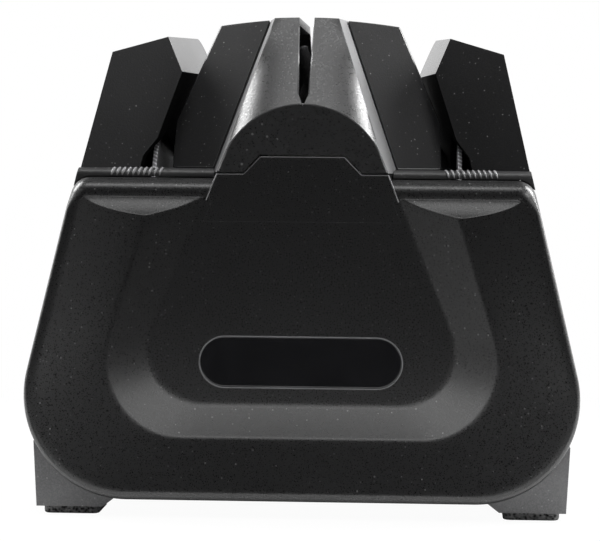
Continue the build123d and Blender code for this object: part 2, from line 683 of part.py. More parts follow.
def outer_guide():
    rise = (WING_PEAK_Z - WING_TOP_Z) / (WING_TOP_X - WING_PEAK_X)
    inner = WING_LIP_X - 12
    outline = shape([(WING_FOOT_X, BASE_TOP_Z), (WING_TOP_X, WING_TOP_Z),
                     (inner, WING_TOP_Z + (WING_TOP_X - inner) * rise), (inner, BASE_TOP_Z)])
    blank = along_y(outline, FRONT, REAR) - wing_cuts()
    back_top = [edge for edge in blank.edges() if edge.center().Y > 0 and edge.center().Z > WING_TOP_Z
                and edge.tangent_at(0.5).Y ** 2 < 0.1]
    blank = fillet(back_top, WING_REAR_R)
    part = (blank - knife_channel(BASE_TOP_Z - 5)).solids().sort_by(Axis.X)[-1]
    low, high = BASE_TOP_Z - 1, WING_TOP_Z - GUIDE_WALL
    hollow = shape([(WING_FOOT_X - GUIDE_WALL, low), (WING_TOP_X - GUIDE_WALL, high),
                    (WING_HEEL_X + 3, high + 1), (WING_HEEL_X + 3, low)])
    hollow = along_y(hollow, FRONT, REAR) - wing_cuts(GUIDE_WALL)
    for y in (-GUIDE_SCREW_Y, GUIDE_SCREW_Y):
        hollow -= rod_z(BOSS_R, low, BASE_TOP_Z + 14, GUIDE_SCREW_X, y)
        hollow -= box(GUIDE_SCREW_X, WING_FOOT_X, y - 1, y + 1, low, BASE_TOP_Z + 14)
    part -= hollow
    for y in (-GUIDE_SCREW_Y, GUIDE_SCREW_Y):
        part -= rod_z(SCREW_R, low, BASE_TOP_Z + 9, GUIDE_SCREW_X, y)
    reach = DISC_R + DISC_ROOM
    return part - rod_x(reach, DISC_X - DISC_ROOM, WING_HEEL_X)


def guide_base():
    """Strip under both guides: it laps the shoulder, locates in the deck and has the thumb grip."""
    low = DECK_Z + GUIDE_GAP
    lip = DECK_Z - LIP_DROP
    outline = shape([(PANEL_HALF_TOP, low), (PANEL_HALF_TOP, BASE_TOP_Z),
                     (side_x(BASE_TOP_Z) + LIP_PROUD, BASE_TOP_Z), (side_x(lip) + LIP_PROUD, lip),
                     (side_x(DECK_Z) - 12, lip), (side_x(DECK_Z) - 12, low)])
    front = FRONT + BASE_FRONT
    part = along_y(outline, front, -front)
    profile = shape([(front, lip - 1), (-front, lip - 1), (-front, BASE_TOP_Z), (front, BASE_TOP_Z)])
    profile = fillet(profile.vertices().sort_by(Axis.Y)[-2:], BASE_ROUND)
    part = part & along_x(profile, 0, WIDTH)
    part -= along_y(body_outline(-GUIDE_GAP, DECK_Z + GUIDE_GAP), -REAR, REAR)
    part -= along_z(tower_plan(GUIDE_GAP), 0, BASE_TOP_Z + 1)
    part -= knife_channel(low - 5) & box(0, WIDTH, -DISC_R, DISC_R, 0, BASE_TOP_Z + 1)
    part -= box(DISC_X - DISC_ROOM, DISC_X + DISC_THICK + DISC_ROOM, -DISC_R, DISC_R, 0, BASE_TOP_Z + 1)
    part += knife_channel(low) & box(0, WIDTH, TAIL_WALL_Y, TAIL_WALL_Y + TAIL_WALL, low, TAIL_WALL_TOP)
    round_z = BASE_TOP_Z - BASE_ROUND
    grip = BLOCK_FOOT_X + GRIP_OUT
    swell = rod_x(BASE_ROUND + GRIP_PROUD, grip - GRIP_PITCH * 2, grip + GRIP_PITCH * (GRIP_RIBS + 1),
                  front + BASE_ROUND, round_z)
    swell = swell & box(0, WIDTH, FRONT, front + BASE_ROUND, low, BASE_TOP_Z + 1)
    run = (BASE_TOP_Z + 1 - low) * slope(GRIP_SLANT)
    for i in range(GRIP_RIBS):
        x = grip + i * GRIP_PITCH
        rib = shape([(x, low), (x + GRIP_RIB, low), (x + GRIP_RIB - run, BASE_TOP_Z + 1),
                     (x - run, BASE_TOP_Z + 1)])
        part += swell & along_y(rib, FRONT, 0)
    for y in (-PEG_Y, PEG_Y):
        peg = rod_z(PEG_R, DECK_Z - PEG_LENGTH, low + 0.5, PEG_X, y)
        part += chamfer(peg.edges().sort_by(Axis.Z)[0], 0.8)
    for y in (-GUIDE_SCREW_Y, GUIDE_SCREW_Y):
        part -= rod_z(SCREW_R + 0.2, low - 1, BASE_TOP_Z + 1, GUIDE_SCREW_X, y)
        part -= rod_z(SCREW_HEAD_R + 0.2, low - 1, low + 1.3, GUIDE_SCREW_X, y)
    return part


def screw_z(x, y, head_z, length, up=True):
    """Screw along Z with its head's outer face at head_z, pointing up or down."""
    sign = 1 if up else -1
    start, end = head_z + sign * SCREW_HEAD, head_z + sign * length
    head = rod_z(SCREW_HEAD_R, min(head_z, start), max(head_z, start), x, y)
    return head + rod_z(SCREW_R, min(start, end), max(start, end), x, y)


def guide_screws():
    low = DECK_Z + GUIDE_GAP
    screws = []
    for y in (-GUIDE_SCREW_Y, GUIDE_SCREW_Y):
        head = rod_z(SCREW_HEAD_R, low + 0.1, low + 1.3, GUIDE_SCREW_X, y)
        screws.append(head + rod_z(SCREW_R, low + 1.3, BASE_TOP_Z + 8, GUIDE_SCREW_X, y))
    return screws


# ---- spindle -------------------------------------------------------------------------------
def drive_shaft():
    half = DISC_X + SHAFT_OVER
    shaft = rod_x(SHAFT_R, -half, half)
    return chamfer(shaft.edges().filter_by(GeomType.CIRCLE), 0.4)


def rotor_core():
    part = rod_x(ROTOR_R, -ROTOR_HALF, ROTOR_HALF) - rod_x(SHAFT_R, -BIG, BIG)
    slot = Pos(0, (ROTOR_R + SHAFT_R) / 2 + 2.5) * Rectangle(1.2, ROTOR_R - SHAFT_R)
    for i in range(ROTOR_SLOTS):
        turned = Pos(0, AXIS_Z) * Rot(0, 0, 360 * i / ROTOR_SLOTS) * slot
        part -= along_x(turned, -ROTOR_HALF - 1, ROTOR_HALF + 1)
    return part


def ring_x(outer, inner, x0, x1):
    return rod_x(outer, x0, x1) - rod_x(inner, x0 - 1, x1 + 1)


def rotor_windings():
    ends = []
    end = ROTOR_HALF + WINDING_LENGTH
    for x0, x1 in ((-end, -ROTOR_HALF), (ROTOR_HALF, end)):
        ring = ring_x(WINDING_R, SHAFT_R, x0, x1)
        ends.append(fillet(ring.edges().filter_by(GeomType.CIRCLE).sort_by(SortBy.RADIUS)[-2:], 1.2))
    return ends


def commutator():
    start = ROTOR_HALF + WINDING_LENGTH
    return ring_x(COMMUTATOR_R, SHAFT_R, start, start + COMMUTATOR_LENGTH)


def cooling_fan():
    part = ring_x(HUB_BOSS_R - 1, SHAFT_R, -FAN_X - FAN_WIDTH, -FAN_X)
    part += ring_x(FAN_R, SHAFT_R, -FAN_X - FAN_WIDTH, -FAN_X - FAN_WIDTH + 1)
    blade = Pos(0, (FAN_R + SHAFT_R) / 2 + 0.9) * Rectangle(1.0, FAN_R - SHAFT_R - 2)
    for i in range(FAN_BLADES):
        turned = Pos(0, AXIS_Z) * Rot(0, 0, 360 * i / FAN_BLADES) * blade
        part += along_x(turned, -FAN_X - FAN_WIDTH + 0.5, -FAN_X)
    return part


def disc_hub():
    part = ring_x(HUB_BOSS_R, SHAFT_R, DISC_X - HUB_LENGTH, DISC_X - HUB_FLANGE)
    return part + ring_x(HUB_R, SHAFT_R, DISC_X - HUB_FLANGE, DISC_X)


def abrasive_disc():
    disc = ring_x(DISC_R, SHAFT_R, DISC_X, DISC_X + DISC_THICK)
    return fillet(disc.edges().filter_by(GeomType.CIRCLE).sort_by(SortBy.RADIUS)[-2:], 0.3)


def disc_washers():
    start = DISC_X + DISC_THICK
    washer = ring_x(WASHER_R, SHAFT_R, start, start + WASHER_THICK)
    return [washer, flip(washer)]


def disc_nuts():
    start = DISC_X + DISC_THICK + WASHER_THICK
    hexagon = Pos(0, AXIS_Z) * RegularPolygon(NUT_R, 6)
    nut = along_x(hexagon, start, start + NUT_THICK) - rod_x(SHAFT_R, 0, BIG)
    return [nut, flip(nut)]


# ---- motor ---------------------------------------------------------------------------------
def motor_can():
    return ring_x(MOTOR_R, MOTOR_R - MOTOR_WALL, -MOTOR_HALF, MOTOR_HALF)


def motor_end_bells():
    disc = rod_x(MOTOR_R, MOTOR_HALF, MOTOR_HALF + BELL_THICK)
    disc += rod_x(BELL_BOSS_R, MOTOR_HALF + BELL_THICK, MOTOR_HALF + BELL_BOSS)
    disc -= rod_x(SHAFT_R + 1.0, 0, BIG)
    return [disc, flip(disc)]


def motor_bushes():
    bush = ring_x(SHAFT_R + 1.0, SHAFT_R + RUN_GAP, MOTOR_HALF - 1, MOTOR_HALF + BELL_BOSS)
    return [bush, flip(bush)]


def motor_magnets():
    outer = MOTOR_R - MOTOR_WALL
    ring = ring_x(outer, outer - MAGNET_THICK, -MOTOR_HALF + 4, MOTOR_HALF - 6)
    return [ring & box(-BIG, BIG, -BIG, -3, 0, BIG), ring & box(-BIG, BIG, 3, BIG, 0, BIG)]


def motor_brushes():
    """Two carbon brushes that reach from the can to the commutator."""
    x = ROTOR_HALF + WINDING_LENGTH + COMMUTATOR_LENGTH / 2
    near, far = COMMUTATOR_R + RUN_GAP, MOTOR_R - MOTOR_WALL
    upper = box(x - BRUSH / 2, x + BRUSH / 2, -BRUSH / 2, BRUSH / 2, AXIS_Z, AXIS_Z + far)
    upper = (upper - rod_x(near, x - 5, x + 5)) & rod_x(far, x - 5, x + 5)
    lower = Pos(0, 0, AXIS_Z) * Rot(180, 0, 0) * Pos(0, 0, -AXIS_Z) * upper
    return [upper, lower]


def motor_mount_rings():
    ring = ring_x(MOTOR_R + RING_THICK, MOTOR_R, RING_X - RING_WIDTH / 2, RING_X + RING_WIDTH / 2)
    return [ring, flip(ring)]


def spindle_bearings():
    half = BEARING_WIDTH / 2
    ring = ring_x(BEARING_R, SHAFT_R + RUN_GAP, BEARING_X - half, BEARING_X + half)
    return [ring, flip(ring)]


# ---- controls ------------------------------------------------------------------------------
def badge_plate():
    y = FRONT - BADGE_PROUD
    plate = along_y(badge_shape(), y, y + BADGE_THICK)
    return fillet(plate.edges().filter_by_position(Axis.Y, y, y), 0.3)


def button_bezel():
    outer = REAR + BEZEL_PROUD
    bore = rod_y(BUTTON_R + SEAM, 0, BIG, 0, BUTTON_Z)
    ring = rod_y(BEZEL_R, REAR - BEZEL_SUNK, outer, 0, BUTTON_Z) - bore
    return fillet(ring.edges().filter_by_position(Axis.Y, outer, outer), 0.5)


def power_button():
    outer = REAR + BUTTON_PROUD
    flange = REAR - WALL - SEAM
    cap = rod_y(BUTTON_R, flange - 0.2, outer, 0, BUTTON_Z)
    cap = fillet(cap.edges().filter_by_position(Axis.Y, outer, outer), 1.0)
    cap += rod_y(BUTTON_FLANGE_R, flange - BUTTON_FLANGE, flange, 0, BUTTON_Z)
    return cap + rod_y(STEM_R, BOARD_Y + BOARD_THICK + BUTTON_TRAVEL + 0.3, flange, 0, BUTTON_Z)


def power_switch():
    y = BOARD_Y + BOARD_THICK
    half = SWITCH_SIZE / 2
    part = box(-half, half, y, y + SWITCH_HEIGHT, BUTTON_Z - half, BUTTON_Z + half)
    return part - rod_y(STEM_R + RUN_GAP, y, REAR, 0, BUTTON_Z)


def button_spring():
    y = BOARD_Y + BOARD_THICK
    length = REAR - WALL - SEAM - BUTTON_FLANGE - y
    rise = length - 2 * SPRING_WIRE
    coil = Helix(rise / SPRING_TURNS, rise, SPRING_R)
    wire = sweep(Plane(origin=coil @ 0, z_dir=coil % 0) * Circle(SPRING_WIRE), path=coil)
    return Pos(0, y + SPRING_WIRE, BUTTON_Z) * Rot(-90, 0, 0) * wire


def control_board():
    board = box(-BOARD_HALF_X, BOARD_HALF_X, BOARD_Y, BOARD_Y + BOARD_THICK, BOARD_LOW_Z, BOARD_HIGH_Z)
    for x, z in board_screw_places():
        board -= rod_y(1.2, BOARD_Y - 1, REAR, x, z)
    return board


def board_screws():
    screws = []
    for x, z in board_screw_places():
        screw = rod_y(2.0, BOARD_Y - 1.4, BOARD_Y, x, z) + rod_y(1.0, BOARD_Y, REAR - 2 * WALL - 2, x, z)
        screws.append(screw)
    return screws


def board_components():
    """Capacitor, driver block and connector on the motor side of the board."""
    x, z, radius, height = CAPACITOR
    capacitor = rod_y(radius, BOARD_Y - height, BOARD_Y, x, z)
    x, z, half_x, half_z, height = DRIVER
    driver = box(x - half_x, x + half_x, BOARD_Y - height, BOARD_Y, z - half_z, z + half_z)
    socket = box(SOCKET_X - 5, SOCKET_X + 5, BOARD_Y - SOCKET_DEPTH, BOARD_Y, SOCKET_Z - 3, SOCKET_Z + 3)
    return [capacitor, driver, socket]


def status_leds():
    y = BOARD_Y + BOARD_THICK
    return [rod_y(1.5, y, REAR - WALL - 3, x, LIGHT_Z) for x in light_places()]


def led_lenses():
    lenses = []
    for x in light_places():
        lens = rod_y(LIGHT_R, REAR - WALL - 3, REAR + 0.4, x, LIGHT_Z)
        lenses.append(fillet(lens.edges().sort_by(Axis.Y)[-1], 0.6))
    return lenses


def power_inlet():
    """Barrel jack: a body on the board, and a sleeve through the rear wall with its centre pin."""
    y = BOARD_Y + BOARD_THICK
    half = INLET_R + 0.6
    part = box(INLET_X - half, INLET_X + half, y, REAR - WALL - 4, INLET_Z - half, INLET_Z + half)
    part += rod_y(INLET_R, REAR - WALL - 4, REAR + 0.4, INLET_X, INLET_Z)
    part -= rod_y(INLET_BORE_R, REAR + 0.4 - INLET_DEPTH, REAR + 1, INLET_X, INLET_Z)
    return part + rod_y(INLET_PIN_R, REAR - INLET_DEPTH, REAR - 1, INLET_X, INLET_Z)


def motor_leads():
    """Two leads from the board's socket to the motor's brush terminals."""
    leads = []
    for side in (-1, 1):
        x, face = SOCKET_X + 2 * side, BOARD_Y - SOCKET_DEPTH
        end_x, end_z = MOTOR_HALF + BELL_THICK, AXIS_Z + 8 * side
        route = [(x, face, SOCKET_Z), (x, face - 8, SOCKET_Z), (end_x + 5, 16, end_z - 2 * side),
                 (end_x + 4.4, 7.5, end_z), (end_x, 7.5, end_z)]
        path = FilletPolyline(*route, radius=2.0)
        leads.append(sweep(Plane(origin=path @ 0, z_dir=path % 0) * Circle(LEAD_R), path=path))
    return leads


# ---- fasteners -----------------------------------------------------------------------------
def housing_screws():
    screws = []
    for x, z in shell_screw_places():
        seat = SHELL_SCREW_LENGTH / 2
        screw = rod_y(SCREW_HEAD_R, seat, seat + SCREW_HEAD, x, z)
        screws.append(screw + rod_y(SCREW_R, seat - SHELL_SCREW_LENGTH, seat, x, z))
    return screws


def base_screws():
    head = BODY_BOTTOM + 1.2
    top = head + BASE_SCREW_THREAD
    return [rod_z(SCREW_HEAD_R, head - 1.1, head, x, y) + rod_z(SCREW_R, head, top, x, y)
            for x, y in base_screw_places()]


def tower_screws():
    """Screws up through the deck into the tower's bosses."""
    return [screw_z(x, y, DECK_UNDER - SCREW_HEAD, TOWER_SCREW_LENGTH) for x, y in tower_screw_places()]


def write(name, solids):
    """Write one node; a list becomes separate solids in one file."""
    if isinstance(solids, list):
        solids = Compound(children=[solid for item in solids for solid in item.solids()])
    export_step(solids, f"parts/{name}.step")


def main():
    os.makedirs("parts", exist_ok=True)
    body = shell()
    fixed = {
        "front_housing": front_housing(body),
        "rear_housing": rear_housing(body),
        "base_frame": base_frame(),
        "foot_pads": foot_pads(),
        "badge_plate": badge_plate(),
        "hone_tower": hone_tower(),
        "hone_rod_holder": hone_rod_holder(),
        "hone_rods": hone_rods(),
        "motor_can": motor_can(),
        "motor_end_bells": motor_end_bells(),
        "motor_bushes": motor_bushes(),
        "motor_magnets": motor_magnets(),
        "motor_brushes": motor_brushes(),
        "motor_mount_rings": motor_mount_rings(),
        "spindle_bearings": spindle_bearings(),
        "control_board": control_board(),
        "board_components": board_components(),
        "board_screws": board_screws(),
        "power_switch": power_switch(),
        "status_leds": status_leds(),
        "led_lenses": led_lenses(),
        "power_inlet": power_inlet(),
        "motor_leads": motor_leads(),
        "button_bezel": button_bezel(),
        "button_spring": button_spring(),
        "housing_screws": housing_screws(),
        "base_screws": base_screws(),
        "tower_screws": tower_screws(),
        "power_button": power_button(),
        "drive_shaft": drive_shaft(),
        "rotor_core": rotor_core(),
        "rotor_windings": rotor_windings(),
        "commutator": commutator(),
        "cooling_fan": cooling_fan(),
        "disc_washers": disc_washers(),
        "disc_nuts": disc_nuts(),
    }
    paired = {
        "disc_hub": disc_hub(),
        "abrasive_disc": abrasive_disc(),
        "guide_base": guide_base(),
        "outer_guide": outer_guide(),
        "inner_guide": inner_guide(),
        "guide_screws": Compound(children=[s for item in guide_screws() for s in item.solids()]),
    }
    for name, part in fixed.items():
        write(name, part)
    for name, part in paired.items():
        write(f"right_{name}", part)
        write(f"left_{name}", flip(part))


if __name__ == "__main__":
    main()
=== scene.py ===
"""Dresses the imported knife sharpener: shells, blade guides, tower, finishes and a plain studio."""
import json
import math

import bmesh
import bpy
import numpy as np
from bpy.props import BoolProperty, FloatProperty, FloatVectorProperty, IntProperty, PointerProperty
from mathutils import Matrix, Vector


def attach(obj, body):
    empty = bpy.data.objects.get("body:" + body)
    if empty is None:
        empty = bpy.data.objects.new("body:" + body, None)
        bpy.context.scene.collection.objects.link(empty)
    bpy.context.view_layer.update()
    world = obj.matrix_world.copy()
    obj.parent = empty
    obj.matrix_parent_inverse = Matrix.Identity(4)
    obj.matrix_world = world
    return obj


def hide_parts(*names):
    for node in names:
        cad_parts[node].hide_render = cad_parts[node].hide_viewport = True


bl_info = {
    "name": "Knife Sharpener Finish",
    "version": (1, 0, 0),
    "blender": (4, 5, 0),
    "location": "3D View > Sidebar > Sharpener",
    "description": "Builds the shells, guides, finishes and studio of an electric knife sharpener",
    "category": "Object",
}

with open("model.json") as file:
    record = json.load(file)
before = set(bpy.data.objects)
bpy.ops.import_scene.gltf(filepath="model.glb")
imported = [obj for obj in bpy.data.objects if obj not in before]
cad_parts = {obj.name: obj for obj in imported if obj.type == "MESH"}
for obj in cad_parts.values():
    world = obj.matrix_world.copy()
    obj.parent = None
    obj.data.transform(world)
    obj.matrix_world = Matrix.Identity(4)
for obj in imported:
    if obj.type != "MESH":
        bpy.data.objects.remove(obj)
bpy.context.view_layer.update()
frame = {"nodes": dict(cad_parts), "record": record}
FINISHES = {}
MM = 0.001

# Body in millimetres; +Y is the rear. The width is a hair under the construction's, so that the
# skin stays inside it.
HALF_DEPTH = 55.0
DECK_Z = 101.0
BODY_BOTTOM = 5.1
SIDE_LEAN = math.radians(13.5)
WIDTH = 165.37
CORNER_R = 31.0
SHOULDER_R = 5.6
SHELL_WALL = 2.6
PLATEAU_Z = 102.5
PANEL_LEAN = math.tan(math.radians(21.9))
BADGE_Z = 46.7
BADGE_SIZE = (60.6, 15.6)

# Tower: its foot, its leaning and splayed sides, the arched nose, the crown and the hone slot.
TOWER_Z = 102.9
TOWER_FOOT = 25.3
TOWER_LEAN = math.tan(math.radians(21.6))
TOWER_SPLAY = math.tan(math.radians(7.7))
TOWER_FULL = 36.0
CROWN_Z = 149.5
CROWN_R = 214.0
BLOCK_TOP = CROWN_Z + 1.0
NOSE_SPRING, NOSE_APEX = 109.4, 123.3
NOSE_DEPTH = (BLOCK_TOP - NOSE_SPRING) * math.tan(math.radians(27.0))
HONE_FLOOR, HONE_WAIST, HONE_MOUTH = (0.0, 122.4), (1.4, 125.8), (2.3, CROWN_Z)
TAB_HALF, TAB_TOP_HALF, TAB_RISE = 17.5, 12.5, 5.2
TAB_GAP = 0.4

# Blade guides on the right side: points round the knife slot as X and Z, at the toe's pivot line.
GUIDE_TOP = 103.8
GUIDE_END = HALF_DEPTH - 8.0
TOE = math.radians(5.3)
TOE_PIVOT = (40.8, -27.5)
WING_TOP_IN, WING_TOP_Z = 7.8, 138.9
BEVEL_PEAK, BEVEL_LIP = (43.8, 143.8), (39.4, 133.3)
POCKET_ROOF, POCKET_FOOT = (45.1, 113.0), (48.8, 107.6)
KNEE = (41.1, 118.1)
KNEE_LEAN = math.tan(math.radians(22.1))
SLOT_IN, SLOT_OUT = 40.8, 49.6
DISC_ROOM = (43.9, 49.3)
DISC_AXLE_Z = 81.0
PEG_AT, PEG_R = (58.0, 36.0), 3.0
STRIP_LIP, STRIP_ROUND = 0.3, 2.3
TAIL_WALL = (38.0, 41.0)
TAIL_WALL_TOP = 110.5


# ---- mesh helpers ---------------------------------------------------------------------------
def make_object(name, verts, faces):
    """A new object from points in millimetres."""
    mesh = bpy.data.meshes.new(name)
    mesh.from_pydata((np.asarray(verts, float) * MM).tolist(), [], faces)
    mesh.validate()
    obj = bpy.data.objects.new(name, mesh)
    bpy.context.scene.collection.objects.link(obj)
    return obj


def outward(obj):
    """Merge doubles and point every face outwards."""
    work = bmesh.new()
    work.from_mesh(obj.data)
    bmesh.ops.remove_doubles(work, verts=work.verts, dist=1e-7)
    bmesh.ops.recalc_face_normals(work, faces=work.faces)
    work.to_mesh(obj.data)
    work.free()
    return obj


def settled(obj):
    """Keep what the object's modifiers make as its plain mesh."""
    bpy.context.view_layer.update()
    depsgraph = bpy.context.evaluated_depsgraph_get()
    mesh = bpy.data.meshes.new_from_object(obj.evaluated_get(depsgraph))
    old = obj.data
    obj.modifiers.clear()
    obj.data = mesh
    bpy.data.meshes.remove(old)
    return obj


def discard(obj):
    """Remove an object and its mesh."""
    mesh = obj.data
    bpy.data.objects.remove(obj)
    bpy.data.meshes.remove(mesh)


def combine(obj, tools, operation="DIFFERENCE"):
    """Cut tools out of an object, or join them to it."""
    for tool in tools:
        step = obj.modifiers.new("combine", "BOOLEAN")
        step.operation = operation
        step.solver = "EXACT"
        step.object = tool
    settled(obj)
    for tool in tools:
        discard(tool)
    return obj


def joined(obj, others, name=None):
    """Put other objects' meshes into this one as they are."""
    work = bmesh.new()
    work.from_mesh(obj.data)
    for other in others:
        work.from_mesh(other.data)
        discard(other)
    work.to_mesh(obj.data)
    work.free()
    obj.name = name or obj.name
    return obj


def corner_normals(mesh):
    """The normals at a mesh's face corners, one row each."""
    normals = np.empty(len(mesh.loops) * 3)
    mesh.corner_normals.foreach_get("vector", normals)
    return normals.reshape(-1, 3)


def joined_keeping(obj, other):
    """Join another object's mesh and keep both sets of normals."""
    normals = np.vstack([corner_normals(obj.data), corner_normals(other.data)])
    joined(obj, [other])
    obj.data.shade_smooth()
    obj.data.normals_split_custom_set([tuple(n) for n in normals])
    return obj


def paint(obj, *finishes):
    """Set an object's finishes in slot order and keep what its faces point to."""
    slots = obj.data.materials
    for index, finish in enumerate(finishes):
        if index < len(slots):
            slots[index] = FINISHES[finish]
        else:
            slots.append(FINISHES[finish])
    return obj


def paint_faces(obj, slot, chosen):
    """Point the faces that a test on middle and direction chooses to a finish slot."""
    for face in obj.data.polygons:
        if chosen(face.center / MM, face.normal):
            face.material_index = slot
    return obj


def softened(obj, width, segments=3, angle=28.0):
    """Round an object's edges by a width in millimetres, with flat faces kept flat."""
    step = obj.modifiers.new("edges", "BEVEL")
    step.width = width * MM
    step.segments = segments
    step.limit_method = "ANGLE"
    step.angle_limit = math.radians(angle)
    step.miter_outer = "MITER_ARC"
    step.use_clamp_overlap = True
    step.material = 1 if len(obj.data.materials) > 1 else -1
    obj.data.shade_smooth()
    weight = obj.modifiers.new("normals", "WEIGHTED_NORMAL")
    weight.keep_sharp = False
    weight.weight = 80
    return settled(obj)


def prism(name, outline, axis, low, high):
    """A closed prism along one axis; the outline gives the other two coordinates in order."""
    count = len(outline)
    verts = []
    for level in (low, high):
        for a, b in outline:
            verts.append({"x": (level, a, b), "y": (a, level, b), "z": (a, b, level)}[axis])
    faces = [tuple(range(count)), tuple(range(2 * count - 1, count - 1, -1))]
    faces += [(i, (i + 1) % count, count + (i + 1) % count, count + i) for i in range(count)]
    return outward(make_object(name, verts, faces))


def round_bar(name, radius, axis, centre, low, high, count=64):
    """A closed round bar along an axis through a centre given as the other two coordinates."""
    turn = [2 * math.pi * i / count for i in range(count)]
    outline = [(centre[0] + radius * math.cos(a), centre[1] + radius * math.sin(a)) for a in turn]
    return prism(name, outline, axis, low, high)


def lofted(name, sections):
    """A closed solid through sections that have as many points each."""
    count = len(sections[0])
    verts = [point for section in sections for point in section]
    faces = [tuple(range(count)), tuple(range(len(verts) - count, len(verts)))]
    for level in range(len(sections) - 1):
        a, b = level * count, (level + 1) * count
        faces += [(a + i, a + (i + 1) % count, b + (i + 1) % count, b + i) for i in range(count)]
    return outward(make_object(name, verts, faces))


def bead(points, radius, around=8):
    """A closed thin round bead along a line of points."""
    points = [Vector(point) for point in points]
    rings = []
    for index, point in enumerate(points):
        ahead = (points[min(index + 1, len(points) - 1)] - points[max(index - 1, 0)]).normalized()
        across = ahead.cross(Vector((0, 1, 0)) if abs(ahead.y) < 0.8 else Vector((1, 0, 0))).normalized()
        over = across.cross(ahead)
        turns = [2 * math.pi * k / around for k in range(around)]
        rings.append([point + (across * math.cos(a) + over * math.sin(a)) * radius for a in turns])
    obj = lofted("bead", rings)
    obj.data.shade_smooth()
    return obj


def slot_outline(centre, width, height, count=12):
    """A vertical slot with round ends."""
    radius, rise = width / 2, height / 2 - width / 2
    points = []
    for start, level in ((0, rise), (math.pi, -rise)):
        for i in range(count + 1):
            angle = start + math.pi * i / count
            points.append((centre[0] + radius * math.cos(angle),
                           centre[1] + level + radius * math.sin(angle)))
    return points


def mirrored(obj, name):
    """A left-hand copy of a right-hand piece."""
    twin = bpy.data.objects.new(name, obj.data.copy())
    bpy.context.scene.collection.objects.link(twin)
    normals = corner_normals(obj.data)
    work = bmesh.new()
    work.from_mesh(twin.data)
    bmesh.ops.scale(work, vec=(-1, 1, 1), verts=work.verts)
    bmesh.ops.reverse_faces(work, faces=work.faces)
    work.to_mesh(twin.data)
    work.free()
    given = {}
    for poly in obj.data.polygons:
        for loop in poly.loop_indices:
            given[(poly.index, obj.data.loops[loop].vertex_index)] = normals[loop] * (-1, 1, 1)
    flipped = [given[(poly.index, twin.data.loops[loop].vertex_index)]
               for poly in twin.data.polygons for loop in poly.loop_indices]
    twin.data.normals_split_custom_set([tuple(n) for n in flipped])
    return twin


def sliced(obj, point, normal):
    """Cut everything off on the side that the normal points to, and close the cut."""
    work = bmesh.new()
    work.from_mesh(obj.data)
    geom = list(work.verts) + list(work.edges) + list(work.faces)
    result = bmesh.ops.bisect_plane(work, geom=geom, plane_co=Vector(point) * MM,
                                    plane_no=Vector(normal), clear_outer=True, dist=1e-8)
    rim = [item for item in result["geom_cut"] if isinstance(item, bmesh.types.BMEdge)]
    bmesh.ops.holes_fill(work, edges=rim, sides=0)
    bmesh.ops.recalc_face_normals(work, faces=work.faces)
    work.to_mesh(obj.data)
    work.free()
    return obj


def rounded_edges(obj, chosen, width, segments):
    """Round the edges that a test chooses, by a width in millimetres."""
    work = bmesh.new()
    work.from_mesh(obj.data)
    edges = [edge for edge in work.edges if chosen(*[vert.co / MM for vert in edge.verts])]
    if not edges:
        raise RuntimeError(f"{obj.name} has no such edge")
    bmesh.ops.bevel(work, geom=edges, offset=width * MM, offset_type="OFFSET", segments=segments,
                    profile=0.5, affect="EDGES", clamp_overlap=True)
    bmesh.ops.recalc_face_normals(work, faces=work.faces)
    work.to_mesh(obj.data)
    work.free()
    return obj


def node_copy(node, name):
    """A merged copy of a construction node's mesh with flat regions made whole faces."""
    obj = bpy.data.objects.new(name, frame["nodes"][node].data.copy())
    bpy.context.scene.collection.objects.link(obj)
    work = bmesh.new()
    work.from_mesh(obj.data)
    bmesh.ops.remove_doubles(work, verts=work.verts, dist=1e-6)
    bmesh.ops.dissolve_limit(work, angle_limit=math.radians(0.6), verts=work.verts, edges=work.edges)
    work.to_mesh(obj.data)
    work.free()
    if obj.data.has_custom_normals:
        bpy.context.view_layer.objects.active = obj
        with bpy.context.temp_override(object=obj, active_object=obj):
            bpy.ops.mesh.customdata_custom_splitnormals_clear()
    return obj


# ---- shader helpers -------------------------------------------------------------------------
class Value:
    """A shader socket that takes part in arithmetic."""

    def __init__(self, finish, socket):
        self.finish = finish
        self.socket = socket

    def _math(self, operation, first, second):
        return self.finish.node("ShaderNodeMath", {"operation": operation}, {0: first, 1: second})

    def __add__(self, other):
        return self._math("ADD", self, other)

    def __sub__(self, other):
        return self._math("SUBTRACT", self, other)

    def __rsub__(self, other):
        return self._math("SUBTRACT", other, self)

    def __mul__(self, other):
        return self._math("MULTIPLY", self, other)

    def __gt__(self, other):
        return self._math("GREATER_THAN", self, other)

    def __lt__(self, other):
        return self._math("LESS_THAN", self, other)

    __radd__ = __add__
    __rmul__ = __mul__


